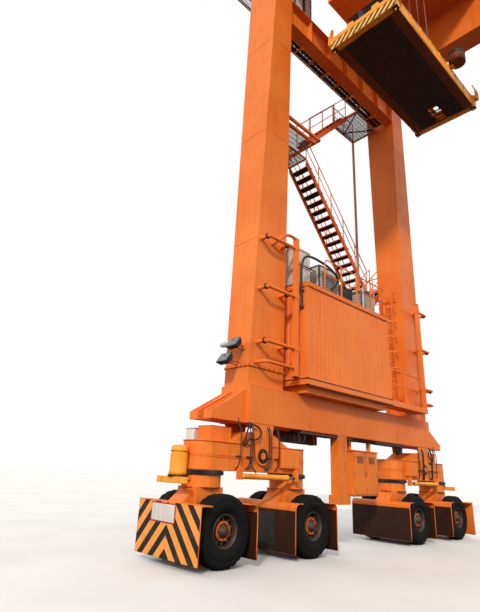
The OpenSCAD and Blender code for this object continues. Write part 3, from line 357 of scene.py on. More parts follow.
def at_side(s):
    """Moves points from a side frame's own plane to the crane: Y turns outward on that side."""
    return lambda p: np.stack([p[:, 0], s * (frame_y + p[:, 1]), p[:, 2]], 1)


def at_bogie(i):
    """Moves points from a bogie's own frame, X and Y outward, to bogie i of four."""
    sx, sy = (-1 if i % 2 else 1), (1 if i <= 2 else -1)
    return lambda p: np.stack([sx * (bogie_x + p[:, 0]), sy * (frame_y + p[:, 1]), p[:, 2]], 1)


def at_yoke(i):
    """Moves points from a yoke's own frame, X away from the bogie's middle, to yoke i of eight."""
    side = 1 if i % 2 else -1
    bogie = at_bogie((i + 1) // 2)
    return lambda p: bogie(np.stack([side * (half_pitch + p[:, 0]), p[:, 1], p[:, 2]], 1))


def at_trolley(p):
    """Moves points from the trolley's own frame to where it stands at rest."""
    return p + np.array([0, trolley_y, 0])


class Piece:
    """Collects closed shells with a material each, moves every one to the piece's place, turns it to face
    outwards, and makes them one object."""

    def __init__(self, name, body, slot, place=None):
        self.name, self.body, self.slot_name, self.place = name, body, slot, place
        self.points, self.faces, self.picks, self.flats, self.finishes, self.count = [], [], [], [], [], 0

    def add(self, shell, finish, smooth=False):
        """Takes a shell to the piece's place; where the volume that its faces enclose is negative, they turn
        round."""
        points, quads, caps = shell
        if self.place:
            points = self.place(points)
        volume = sum(np.einsum("ij,ij->", points[quads[:, 0]],
                               np.cross(points[quads[:, k]], points[quads[:, k + 1]])) for k in (1, 2))
        for cap in caps:
            ring = points[cap]
            volume += np.einsum("ij,ij->", np.broadcast_to(ring[0], ring[1:-1].shape),
                                np.cross(ring[1:-1], ring[2:]))
        turn = -1 if volume < 0 else 1
        self.faces += (quads[:, ::turn] + self.count).tolist()
        self.faces += [(np.array(cap)[::turn] + self.count).tolist() for cap in caps]
        if finish not in self.finishes:
            self.finishes.append(finish)
        self.picks += [self.finishes.index(finish)] * (len(quads) + len(caps))
        self.flats += [smooth] * len(quads) + [False] * len(caps)
        self.points.append(points)
        self.count += len(points)

    def block(self, finish, lo, hi, edge=0.008):
        """A chamfered bar between two corners."""
        self.add(bar(lo, hi, edge), finish)

    def pipe(self, finish, path, radius, sides=8, smooth=0):
        """A round tube along a path."""
        self.add(tube(path, radius, sides, smooth), finish, True)

    def lathe(self, finish, profile, centre, axis, sides=24):
        """A solid of revolution."""
        self.add(turned(profile, centre, axis, sides), finish, True)

    def round_loop(self, finish, profile, centre, axis=1, sides=48, relief=None):
        """A ring with a hole through it."""
        self.add(hoop(profile, centre, axis, sides, relief), finish, True)

    def build(self, replaces=(), blend=None):
        """Makes the object, fixes it to its body, or with blend only bakes its place into the mesh, and hides
        the parts that it replaces.
        """
        mesh = bpy.data.meshes.new(self.name)
        mesh.from_pydata(np.vstack(self.points).tolist(), [], self.faces)
        for finish in self.finishes:
            mesh.materials.append(finish)
        mesh.polygons.foreach_set("material_index", self.picks)
        mesh.polygons.foreach_set("use_smooth", self.flats)
        mesh.update()
        made = bpy.data.objects.new(self.name, mesh)
        bpy.context.scene.collection.objects.link(made)
        if blend:
            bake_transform(made)
        else:
            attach(made, self.body)
        if replaces:
            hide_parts(*replaces)
        return made


def bolts(piece, centre, pitch_r, count, radius, height, axis, finish):
    """Hexagon heads evenly round a circle about the axis."""
    u, v = [(1, 2), (2, 0), (0, 1)][axis]
    for turn in np.linspace(0, 2 * math.pi, count, endpoint=False):
        at = np.array(centre, float)
        at[u] += pitch_r * math.cos(turn)
        at[v] += pitch_r * math.sin(turn)
        piece.add(turned([(radius, 0), (radius, height * 0.8), (radius * 0.8, height)], at, axis, 6),
                  finish)


def railing(piece, path, height=rail_height, gap=1.4):
    """A tube handrail over a path of points: posts no more than gap apart, a top rail, a knee rail and a toe
    board."""
    path = np.asarray(path, float)
    up = np.array([0, 0, height])
    toe, thin, across = 0.1, np.array([0.004, 0.004, 0]), np.array([0.004, -0.004, 0])
    piece.pipe(orange, path + up, 0.021)
    piece.pipe(orange, path + up * 0.52, 0.0168)
    for a, b in zip(path[:-1], path[1:]):
        count = max(1, math.ceil(np.linalg.norm(b - a) / gap))
        for t in np.linspace(0, 1, count + 1):
            foot = a + (b - a) * t
            piece.pipe(orange, [foot, foot + up], 0.021)
        board = [[p - thin, p + across, p + across + [0, 0, toe], p - thin + [0, 0, toe]] for p in (a, b)]
        piece.add(carry(board), orange)


def mesh_floor(piece, lo, hi, z, along):
    """An open grating between two corners: thin bearing bars spaced along one axis, and cross bars."""
    deep = 0.03
    for axis, spacing, half, foot, top in ((along, 0.05, 0.003, 1.0, 0.0),
                                           (1 - along, 0.14, 0.004, 0.9, 0.2)):
        count = max(2, int((hi[axis] - lo[axis]) / spacing))
        at = np.linspace(lo[axis], hi[axis], count)
        low, high = np.zeros((count, 3)), np.zeros((count, 3))
        low[:, axis], high[:, axis] = at - half, at + half
        low[:, 1 - axis], high[:, 1 - axis] = lo[1 - axis], hi[1 - axis]
        low[:, 2], high[:, 2] = z - deep * foot, z - deep * top
        piece.add(bars(low, high), grating_steel)


# Finishes of the solids that stay as they are, by how their names start
solid_finishes = ((("bogie_beam", "rocker", "yoke"), bogie_orange),
                  (("flipper", "spreader", "headblock"), amber),
                  (("sill_cabinets",), cabinet_orange),
                  (("power_house", "house_base", "control_house"), house_orange),
                  (("walkways", "cable_tray", "stair_platforms"), grating_steel),
                  (("trolley_rails", "trolley_wheels", "hoist_ropes"), bare_steel),
                  (("hoist_machinery", "roof_units"), unit_grey),
                  (("floodlights", "festoon_cable"), black_steel),
                  (("cab_windows",), cab_glass),
                  (("wheel_pair",), tyre_rubber),
                  (("",), orange))
for name, node in nodes.items():
    node.data.materials.clear()
    node.data.materials.append(next(finish for starts, finish in solid_finishes if name.startswith(starts)))


# Tyres and wheels
def tread(turn, radius, y):
    """Depth of the tread grooves: slanting gaps between the shoulder lugs, and two gaps round the middle."""
    lug = (turn * 26 / (2 * math.pi) + np.abs(y) * 4.5 + np.where(y > 0, 0.5, 0.0)) % 1.0
    gap = np.clip(1.0 - np.abs(lug - 0.2) / 0.17, 0, 1) ** 0.5
    shoulder = np.clip((np.abs(y) - 0.045) / 0.01, 0, 1)
    ring = np.clip(1.0 - np.abs(np.abs(y) - 0.04) / 0.012, 0, 1)
    outer = np.clip((radius - 0.66) / 0.03, 0, 1)
    return 0.022 * np.maximum(gap * shoulder, ring) * outer


# Outlines of a tyre, its rim and its hub: (radius, distance outward from the tyre's middle)
half_tyre = [(0.335, 0.172), (0.36, 0.188), (0.42, 0.2), (0.425, 0.205), (0.45, 0.206), (0.455, 0.21),
             (0.52, 0.2145), (0.585, 0.2145), (0.59, 0.211), (0.61, 0.211), (0.615, 0.213), (0.66, 0.207),
             (0.695, 0.196), (0.722, 0.18), (0.738, 0.162), (0.743, 0.13), (0.744, 0.095), (0.745, 0.06),
             (0.745, 0.052), (0.745, 0.047), (0.745, 0.04), (0.745, 0.033), (0.745, 0.024)]
tyre_loop = half_tyre + [(r, -h) for r, h in half_tyre[::-1]]
rim = [(0.345, 0.176), (0.345, 0.19), (0.335, 0.195), (0.318, 0.19), (0.312, 0.15), (0.3, 0.12), (0.3, -0.13),
       (0.315, -0.17), (0.335, -0.195), (0.345, -0.19), (0.34, -0.1), (0.34, 0.1)]
disc = np.array([(0.3, -0.02), (0.3, 0.0), (0.24, 0.02), (0.205, 0.05), (0.2, 0.05), (0.19, 0.06),
                 (0.19, -0.02)])
hub_ring = np.array([(0.205, 0.05), (0.205, 0.115), (0.195, 0.125), (0.15, 0.125), (0.145, 0.05)])
hub_cap = np.array([(0.15, -0.05), (0.15, 0.1), (0.14, 0.12), (0.1, 0.16), (0.09, 0.2), (0.03, 0.215)])

for i in range(1, 9):
    piece = Piece(f"wheels_{i}", f"wheel_pair_{i}", "tyre_rubber", at_yoke(i))
    for side in (-1, 1):
        middle = np.array([0, side * tyre_y, axle_z])
        piece.round_loop(tyre_rubber, tyre_loop, middle, 1, 208, tread)
        piece.round_loop(wheel_steel, rim, middle)
        piece.round_loop(wheel_steel, disc * [1, side], middle, 1, 40)
        piece.round_loop(hub_orange, hub_ring * [1, side], middle, 1, 40)
        piece.lathe(wheel_steel, hub_cap * [1, side], middle, 1, 28)
        bolts(piece, middle + [0, side * 0.045, 0], 0.252, 10, 0.019, side * 0.05, 1, bare_steel)
        bolts(piece, middle + [0, side * 0.12, 0], 0.175, 8, 0.012, side * 0.018, 1, black_steel)
    piece.lathe(black_steel, [(0.09, -0.75), (0.09, 0.75)], [0, 0, axle_z], 1)
    piece.build([f"wheel_pair_{i}"])

# Trim on the yokes: guard faces and rims, flange bolts, drive motors and end bumpers
guard_x, guard_y, flap_x = 0.85, 1.07, 0.853
bumper_x, bumper_y, bumper_low, bumper_top = 0.87, 1.15, 0.152, 1.266
motor_at = [0.69, 0, 0]
motor = [(0.205, 1.84), (0.205, 1.9), (0.198, 1.93), (0.188, 2.3), (0.186, 2.34)]
motor_cap = [(0.2, 2.34), (0.2, 2.38), (0.184, 2.4), (0.184, 2.45), (0.15, 2.475), (0.06, 2.49)]

for i in range(1, 9):
    outer = i % 2 == 1
    piece = Piece(f"yoke_trim_{i}", f"yoke_{i}", "orange_paint", at_yoke(i))
    for side in ([-1] if outer else [-1, 1]):
        for x in (guard_x, guard_x - 0.019):
            piece.block(guard_brown, [side * x, -guard_y, 0.155], [side * (x + 0.003), guard_y, 1.12], 0.001)
        for y in (-guard_y - 0.005, guard_y + 0.005):
            rail = [(side * 0.842, y, 0.15), (side * 0.842, y, 1.1), (side * 0.83, y, 1.2),
                    (side * 0.78, y, 1.265), (side * 0.7, y, 1.282), (side * 0.56, y, 1.282)]
            piece.pipe(bogie_orange, rail, 0.013, 8, 1)
        for y in (-0.45, 0.45):
            piece.block(guard_brown, [side * guard_x, y - 0.03, 0.2],
                        [side * (guard_x + 0.012), y + 0.03, 1.1], 0.003)
    piece.block(hose_black, [-flap_x - 0.015, -0.4, 0.3], [-flap_x, 1.02, 1.02], 0.003)
    for z, up in ((1.582, -0.02), (1.84, 0.022)):
        bolts(piece, [0, 0, z], 0.43, 16, 0.02, up, 2, black_steel)
    for y in (-0.35, 0.35):
        piece.block(bogie_orange, [-0.4, y - 0.012, 1.02], [0.4, y + 0.012, 1.05], 0.004)
    for side in (1, -1):
        bearing = [(0.15, side * 0.35), (0.15, side * 0.39), (0.12, side * 0.4)]
        piece.lathe(black_steel, bearing, [0, 0, axle_z], 1)
    if outer:
        piece.block(chevrons, [bumper_x, -bumper_y, bumper_low], [bumper_x + 0.006, bumper_y, bumper_top],
                    0.002)
        piece.block(sign_red, [bumper_x + 0.006, -0.3, 0.84], [bumper_x + 0.012, 0.62, 1.25], 0.002)
        piece.block(sign_white, [bumper_x + 0.012, -0.27, 0.87], [bumper_x + 0.016, 0.59, 1.22], 0.001)
        piece.pipe(orange, [(0.862, -bumper_y, 1.272), (0.862, bumper_y, 1.272)], 0.012)
        for y in (-bumper_y, bumper_y):
            piece.pipe(orange, [(0.866, y, 0.15), (0.866, y, 1.27)], 0.01)
        piece.block(amber, [0.8, -0.55, 1.66], [0.872, 0.55, 1.8], 0.01)
        piece.lathe(black_steel, [(0.225, 1.8), (0.225, 1.835), (0.215, 1.84)], motor_at, 2, 32)
        piece.lathe(amber, motor, motor_at, 2, 32)
        piece.lathe(amber, motor_cap, motor_at, 2, 32)
        for turn in np.linspace(0, 2 * math.pi, 20, endpoint=False):
            x, y = motor_at[0] + 0.193 * math.cos(turn), 0.193 * math.sin(turn)
            piece.add(tube([(x, y, 1.92), (x, y, 2.29)], 0.006, 4), amber)
        bolts(piece, [motor_at[0], 0, 1.83], 0.186, 8, 0.011, 0.014, 2, black_steel)
        piece.block(amber, [0.55, 0.16, 2.0], [0.7, 0.26, 2.16], 0.01)
    piece.build()


def teeth(turn, radius, z):
    """Depth of the gaps between 60 teeth on a slewing ring's outer edge: a rounded square wave."""
    return np.clip(0.5 + 2.5 * np.sin(60 * turn), 0, 1) * 0.022 * (radius > 0.5)


# Trim on the bogie beams: seams, slewing rings, the steering cylinder, hoses, boxes and the rocker pin's caps
beam_half, seam_in = 0.475, 0.46
hose_y = -0.62
pin_z = 2.36
slew_ring = [(0.45, 1.86), (0.45, 1.965), (0.515, 1.965), (0.52, 1.955), (0.52, 1.875), (0.515, 1.865)]
cylinder_y, cylinder_z = -0.56, 1.87
barrel = [(0.05, -0.93), (0.078, -0.92), (0.078, -0.84), (0.067, -0.83), (0.067, 0.69), (0.074, 0.7),
          (0.074, 0.745), (0.06, 0.75)]
hose_loop = [(0.66, -0.45, 2.58), (0.65, -0.56, 2.7), (0.62, hose_y, 3.05), (0.38, -0.63, 3.1),
             (0.12, -0.63, 2.94), (0.29, hose_y, 2.71), (0.57, hose_y, 2.76), (0.6, -0.56, 2.62),
             (0.6, -0.45, 2.55)]
half_turn = np.linspace(-math.pi / 2, math.pi / 2, 15)

for i in range(1, 5):
    piece = Piece(f"bogie_trim_{i}", f"bogie_beam_{i}", "orange_paint", at_bogie(i))
    for z, out in ((1.985, 0.018), (2.27, 0.014), (2.31, 0.014), (2.61, 0.03)):
        reach = beam_half + out
        ends = np.column_stack([half_pitch + reach * np.cos(half_turn), reach * np.sin(half_turn)])
        path = np.vstack([ends, -ends])
        core = np.column_stack([path[:, 0].clip(-half_pitch, half_pitch), np.zeros(len(path))])
        inner = core + (path - core) * (seam_in / reach)
        section = ((inner, z), (path, z), (path, z + 0.016), (inner, z + 0.016))
        rings = np.stack([np.column_stack([line, np.full(len(line), level)]) for line, level in section], 1)
        piece.add(carry(rings, closed=True), bogie_orange)
    for x in (-half_pitch, half_pitch):
        bolts(piece, [x, 0, 1.875], 0.445, 18, 0.018, 0.02, 2, black_steel)
        piece.add(hoop(slew_ring, [x, 0, 0], 2, 240, teeth), black_steel)
    piece.lathe(amber, barrel, [0, cylinder_y, cylinder_z], 0, 28)
    piece.lathe(bare_steel, [(0.034, -1.195), (0.034, -0.9)], [0, cylinder_y, cylinder_z], 0, 20)
    for x in (-0.2, 0.25):
        lead = [(x, cylinder_y, cylinder_z + 0.06), (x, cylinder_y, cylinder_z + 0.12),
                (x + 0.1, cylinder_y, 2.05), (x + 0.12, -0.49, 2.16), (x + 0.12, -0.485, 2.3)]
        piece.pipe(hose_black, lead, 0.014, 8, 2)
    for k, x in enumerate((0.84, 0.5, 0.43, -0.16, -0.23, -0.53)):
        drop = [(x + 0.02, -0.5, 3.22), (x + 0.02, -0.53, 3.08), (x, -0.6, 2.95), (x - 0.02, -0.6, 2.4),
                (x, -0.58, 2.12), (x + 0.05, -0.5, 2.02)]
        piece.pipe(hose_black, drop, 0.014 + 0.004 * (k % 2), 8, 2)
        piece.block(black_steel, [x - 0.03, hose_y, 2.3], [x + 0.03, -0.47, 2.33], 0.003)
    piece.pipe(hose_black, hose_loop, 0.022, 10, 3)
    piece.block(bogie_orange, [-1.36, -0.6, 2.1], [-0.68, -0.47, 2.56], 0.012)
    piece.block(bogie_orange, [-1.32, -0.608, 2.14], [-0.72, -0.6, 2.52], 0.003)
    piece.block(sign_white, [0.92, 0.47, 2.48], [1.46, 0.8, 2.95], 0.015)
    piece.block(unit_grey, [0.91, 0.46, 2.935], [1.47, 0.81, 2.96], 0.006)
    for y in (-1, 1):
        pin_cap = [(0.18, y * 0.54), (0.18, y * 0.548), (0.15, y * 0.552), (0.05, y * 0.553)]
        piece.lathe(guard_brown, pin_cap, [0, 0, pin_z], 1, 32)
        bolts(piece, [0, y * 0.56, pin_z], 0.1, 6, 0.012, y * 0.018, 1, bare_steel)
    piece.block(bogie_orange, [0.84, -0.26, 2.978], [1.51, 0.26, 2.995], 0.004)
    for y in (-0.2, 0.2):
        piece.block(bogie_orange, [1.498, y - 0.03, 2.66], [1.512, y + 0.03, 2.94], 0.003)
    piece.build()


def slats(piece, lo, hi, pitch, finish, share=0.55):
    """Louvre blades: flat bars stacked up the box from lo to hi, each a share of the pitch high."""
    z = np.arange(lo[2], hi[2] - pitch * share, pitch)
    one = np.ones_like(z)
    low = np.stack([one * lo[0], one * lo[1], z], 1)
    high = np.stack([one * hi[0], one * hi[1], z + pitch * share], 1)
    piece.add(bars(low, high), finish)


def clad_house(piece, lo, hi):
    """Ribbed sheets on the four sides of a house, between chamfered posts at its corners."""
    post = 0.07
    walls = (((lo[0] + post, lo[1]), (hi[0] - post, lo[1]), (0, -1)),
             ((lo[0], lo[1] + post), (lo[0], hi[1] - post), (-1, 0)),
             ((hi[0], lo[1] + post), (hi[0], hi[1] - post), (1, 0)),
             ((lo[0] + post, hi[1]), (hi[0] - post, hi[1]), (0, 1)))
    for a, b, out in walls:
        piece.add(ribbed(a, b, lo[2] + 0.09, hi[2] - 0.01, out), house_orange)
    for x in (lo[0], hi[0]):
        for y in (lo[1], hi[1]):
            outward = np.array([np.sign(x), np.sign(y), 0])
            piece.block(house_orange, [x, y, lo[2]] - outward * 0.09, [x, y, hi[2]] + outward * 0.034, 0.006)


# Profiled cladding, bands, painted shadow lines at the base, doors and louvres of the power house
piece = Piece("house_cladding", "frame", "orange_paint", at_side(1))
lo, hi = house_lo, house_hi
clad_house(piece, lo, hi)
for y, out in ((lo[1], -1), (hi[1], 1)):
    piece.block(house_orange, [lo[0], y - 0.02, lo[2]], [hi[0], y + out * 0.045, lo[2] + 0.1])
    for z0, z1 in ((7.25, 7.275), (7.34, roof_z)):
        piece.block(house_orange, [lo[0] - 0.055, y + out * 0.052, z0],
                    [hi[0] + 0.055, y + out * 0.066, z1], 0.003)
for x, out in ((lo[0], -1), (hi[0], 1)):
    piece.block(house_orange, [x - 0.02, lo[1], lo[2]], [x + out * 0.045, hi[1], lo[2] + 0.1])
# Deep brown strips along the two near sides of the base are painted shadow: the shade in the gaps at the
# wall's foot and under the ledge
shadow_line_lo, shadow_line_hi = lo[:2] - 0.066, hi[:2] + 0.066
for z0, z1 in ((4.296, 4.325), (4.462, 4.5)):
    piece.block(deep_brown, [*shadow_line_lo, z0], [shadow_line_hi[0], shadow_line_lo[1] + 0.06, z1], 0.002)
    piece.block(deep_brown, [*shadow_line_lo, z0], [shadow_line_lo[0] + 0.06, shadow_line_hi[1], z1], 0.002)
for x in (-2.6, -1.35, -0.1):
    piece.block(house_orange, [x, hi[1] + 0.02, lo[2] + 0.25], [x + 1.0, hi[1] + 0.055, hi[2] - 0.2], 0.006)
    slats(piece, [x + 0.08, hi[1] + 0.05, lo[2] + 0.4], [x + 0.92, hi[1] + 0.062, hi[2] - 0.31], 0.075,
          unit_dark, 0.04 / 0.075)
piece.build()


# Open gratings of the walkways, with their edge channels and brackets
def framed_floor(piece, lo, hi, z, along, deep=0.1):
    """A grating set in a frame of four channels, with its bearing bars spaced along one axis."""
    (x0, y0), (x1, y1) = lo, hi
    for x, lip_in, lip_out in ((x0, 0, 0.062), (x1 - 0.012, 0.05, 0.012)):
        piece.block(orange, [x, y0, z - deep], [x + 0.012, y1, z + 0.004], 0.003)
        piece.block(orange, [x - lip_in, y0, z - deep], [x + lip_out, y1, z - deep + 0.01], 0.002)
    for y in (y0, y1 - 0.012):
        piece.block(orange, [x0, y, z - deep], [x1, y + 0.012, z + 0.004], 0.003)
    mesh_floor(piece, (x0 + 0.014, y0 + 0.014), (x1 - 0.014, y1 - 0.014), z, along)


piece = Piece("walkway_gratings", "frame", "dark_steel")
for side in (-1, 1):
    near, far = sorted((side * walk_in, side * walk_out))
    for k in range(-7, 7):
        framed_floor(piece, (near, reach_y * k / 7), (far, reach_y * (k + 1) / 7), girder_top, 1)
    for k in range(-4, 5):
        y = k * 2.9 + 0.03
        foot = [(side * walk_in, girder_top - 0.06), (side * (walk_out - 0.01), girder_top - 0.06),
                (side * walk_in, girder_top - 0.45)]
        piece.add(carry([[(x, y + w, z) for x, z in foot] for w in (-0.004, 0.004)]), orange)
        strut = [(side * (walk_in + 0.02), y, girder_top - 0.43),
                 (side * (walk_out - 0.03), y, girder_top - 0.08)]
        piece.pipe(orange, strut, 0.022)
    supply = [(side * (walk_in + 0.1), y, girder_top - 0.3) for y in (-12.4, 0.0, 12.4)]
    piece.pipe(hose_black, supply, 0.018)
cross_in, cross_out = 0.9, reach_y - frame_y
bay, tie_bay = 2 * walk_in / 3, tie_walk_x / 2
for side in (-1, 1):
    piece.place = at_side(side)
    for k in range(3):
        x = -walk_in + k * bay
        framed_floor(piece, (x, cross_in), (x + bay, cross_out), girder_top, 0)
    for x in (-2.2, 0.0, 2.2):
        piece.block(orange, [x - 0.04, cross_in, girder_top - 0.24],
                    [x + 0.04, cross_out, girder_top - 0.1], 0.006)
    for k in range(4):
        x = -tie_walk_x + k * tie_bay
        framed_floor(piece, (x, -0.24), (x + tie_bay, 0.18), tie_walk_z, 0, 0.07)
        for y0, y1 in ((-0.22, -0.09), (-0.06, 0.09)):
            piece.block(tread_steel, [x + 0.05, y0, 17.625], [x + 1.66, y1, 17.632], 0.002)
    for x in (-2.54, -0.85, 0.85, 2.54):
        bracket = [(-0.4, 17.62), (0.16, 17.62), (0.16, 17.58), (-0.4, 17.4)]
        piece.add(carry([[(x + w, y, z) for y, z in bracket] for w in (-0.005, 0.005)]), orange)
piece.build(["walkways"])

# Handrails round the girders and along the end ties
piece = Piece("girder_rails", "frame", "orange_paint")
edge_x, edge_y = walk_out - 0.022, reach_y - 0.022
for side in (-1, 1):
    tie_y = side * (frame_y + 0.158)
    railing(piece, [(side * edge_x, -edge_y, girder_top), (side * edge_x, edge_y, girder_top)])
    railing(piece, [(-edge_x, side * edge_y, girder_top), (edge_x, side * edge_y, girder_top)])
    railing(piece, [(-tie_walk_x, tie_y, tie_walk_z), (tie_walk_x, tie_y, tie_walk_z)])
piece.build(["handrails"])

# Bent guard rails on the power house's roof and on the sill beside it
piece = Piece("roof_guard_rails", "frame", "orange_paint", at_side(1))
top, curve = 1.078, 0.16
for a, b, base in (((-2.2, -0.978), (1.278, -0.978), roof_z), ((1.278, -0.94), (1.278, 1.04), roof_z),
                   ((1.42, -1.0), (3.33, -1.0), house_lo[2])):
    a, b = np.array([*a, base]), np.array([*b, base])
    unit = (b - a) / np.linalg.norm(b - a)
    lift = np.array([0, 0, top])
    bow = [a, a + lift * 0.85, a + lift * 0.96 + unit * 0.03, a + lift + unit * curve,
           b + lift - unit * curve, b + lift * 0.96 - unit * 0.03, b + lift * 0.85, b]
    piece.pipe(orange, bow, 0.021, 10, 1)
    piece.pipe(orange, [a + lift * 0.52, b + lift * 0.52], 0.016)
    count = max(2, round(np.linalg.norm(b - a) / 0.9))
    feet = a + (b - a) * np.linspace(0, 1, count + 1)[:, None]
    for foot in feet[1:-1]:
        piece.block(orange, foot - [0.022, 0.022, 0], foot + [0.022, 0.022, top - 0.01], 0.005)
    for foot in feet:
        piece.block(orange, foot - [0.05, 0.05, 0], foot + [0.05, 0.05, 0.012], 0.003)
piece.build(["roof_rails"])


# Stair flights with channel stringers and grating treads, and their handrails
def flight_place(start, turned_round):
    """Moves points from a flight's own frame, which climbs along +X, to its place beside the legs."""
    forward = np.array([-1, -1, 1]) if turned_round else 1
    return lambda p: at_side(1)(np.array(start) + forward * p)


def stair_flight(steps, rails, start, stop, treads, width=0.7):
    """Stringers are a channel section slid along the slope from start to stop (X, Y, Z), cut level at the
    foot, with slatted treads between them and two handrails."""
    run, rise = abs(stop[0] - start[0]), stop[2] - start[2]
    steps.place = rails.place = flight_place(start, stop[0] < start[0])
    deep, lip, thin = 0.28, 0.06, 0.012
    section = [(0, 0), (lip, 0), (lip, -thin), (thin, -thin), (thin, thin - deep), (lip, thin - deep),
               (lip, -deep), (0, -deep)]
    for mirrored in (False, True):
        outline = [(width - y if mirrored else y, dz) for y, dz in section]
        foot = [(-dz * run / rise, y, 0.0) for y, dz in outline]
        head = [(run, y, rise + dz) for y, dz in outline]
        steps.add(carry([foot, head]), stair_orange)
    i = np.arange(1, treads + 1)
    middles = np.column_stack([i * run / (treads + 1), 0 * i, i * rise / (treads + 1)])

    def on_treads(lo, hi, finish):
        """The same bar on every tread, from lo to hi off the tread's middle."""
        steps.add(bars(middles + lo, middles + hi), finish)

    for x in np.linspace(-0.138, 0.138, 15):
        on_treads([x - 0.003, 0.06, -0.066], [x + 0.003, width - 0.06, -0.03], tread_steel)
    for y in np.linspace(0.15, width - 0.15, 5):
        on_treads([-0.14, y, -0.05], [0.14, y + 0.006, -0.034], tread_steel)
    for x in (-0.154, 0.142):
        on_treads([x, 0.055, -0.07], [x + 0.012, width - 0.055, -0.028], stair_orange)
    for y in (0.012, width - 0.024):
        on_treads([-0.15, y, -0.075], [0.15, y + 0.012, -0.028], stair_orange)
    slope = rise / run
    for y in (0.024, width - 0.024):
        for up, radius in ((1.07, 0.021), (0.55, 0.017)):
            rails.pipe(orange, [(0.0, y, up), (run, y, rise + up)], radius)
        count = max(2, round(math.hypot(run, rise) / 1.3))
        for x in np.linspace(0.03, run - 0.03, count + 1):
            rails.pipe(orange, [(x, y, x * slope - 0.02), (x, y, x * slope + 1.07)], 0.02)


steps = Piece("stair_steps", "frame", "orange_paint")
rails = Piece("stair_guard_rails", "frame", "orange_paint")
stair_in, stair_mid, stair_out = 0.69, 1.51, 2.47
stage_1, stage_2, stage_3, stage_4 = 7.37, 9.9, 14.75, tie_walk_z
foot_1, head_1, head_2, foot_3, head_3 = 1.56, 4.33, -0.06, -0.87, 1.85
stage_near, stage_far, top_far = -2.85, 5.48, 3.55
low_near, low_mid, low_in = 1.37, 3.42, 0.64
stair_flight(steps, rails, (foot_1, stair_in, stage_1), (head_1, stair_in, stage_2), 8)
stair_flight(steps, rails, (head_1, stair_out, stage_2), (head_2, stair_out, stage_3), 16,
             stair_out - stair_mid)
stair_flight(steps, rails, (foot_3, stair_in, stage_3), (head_3, stair_in, stage_4), 10)
steps.build(["stair_lower", "stair_middle", "stair_upper"])
pole_x, pole_y, pole_w = 3.46, 1.405, 0.09
inset = 0.022
edge, top_edge = stair_out - inset, pole_y + 0.068
rails.place = at_side(1)
for a, b, z in (((low_near, edge), (stage_far - 0.09, edge), stage_1),
                ((stage_far - inset, stair_in), (stage_far - inset, stair_out), stage_2),
                ((stage_near, edge), (head_2 - 0.06, edge), stage_3),
                ((stage_near + inset, stair_in + 0.02), (stage_near + inset, edge), stage_3),
                ((head_3 + 0.06, top_edge), (top_far, top_edge), stage_4)):
    railing(rails, [[*a, z], [*b, z]], 1.078, 1.2)
for x in np.arange(1.9, 3.5, 0.16):
    rails.pipe(orange, [(x, top_edge, stage_4 + 0.1), (x + 0.07, top_edge, stage_4 + 1.06)], 0.008, 6)
rails.build(["stair_rails"])

# Gratings of the stair platforms, with their arms and posts
piece = Piece("stage_gratings", "frame", "dark_steel", at_side(1))
for lo, hi, z, along in (((low_near, low_in), (low_mid, stair_out), stage_1, 0),
                         ((low_mid, low_in), (stage_far, stair_out), stage_1, 0),
                         ((head_1, stair_in), (stage_far, stair_out), stage_2, 1),
                         ((head_1 - 0.3, stair_mid), (head_1, stair_out), stage_2, 1),
                         ((stage_near, stair_in), (foot_3 + 0.22, stair_mid), stage_3, 0),
                         ((stage_near, stair_mid), (head_2, stair_out), stage_3, 0),
                         ((head_3, 0.18), (top_far, pole_y + pole_w), stage_4, 0)):
    framed_floor(piece, lo, hi, z, along, 0.12)
arms = [((x, 0.62), (x + 0.09, stair_out - 0.2), stage_1) for x in (3.69, 4.39)]
arms += [((-3.556, y), (foot_3 + 0.17, y + 0.09), stage_3) for y in (0.25, 0.5)]
arms += [((x, 0.25), (x + 0.09, stair_out - 0.15), stage_3) for x in (stage_near, foot_3 + 0.08)]
for lo, hi, z in arms:
    piece.block(orange, [*lo, z - 0.24], [*hi, z - 0.12], 0.01)
for x0, x1 in ((head_3 + 0.1, 2.7), (3.4, 2.6)):
    piece.pipe(black_steel, [(x0, 0.25, stage_4 - 0.1), (x1, 1.42, stage_4 - 0.1)], 0.03)
for y in (stair_in, stair_out - 0.09):
    piece.block(orange, [stage_far - 0.09, y, stage_1], [stage_far, y + 0.09, stage_2 - 0.12], 0.01)
piece.block(pole_paint, [pole_x, pole_y, stage_1], [pole_x + pole_w, pole_y + pole_w, stage_4 - 0.12], 0.01)
piece.build(["stair_platforms"])


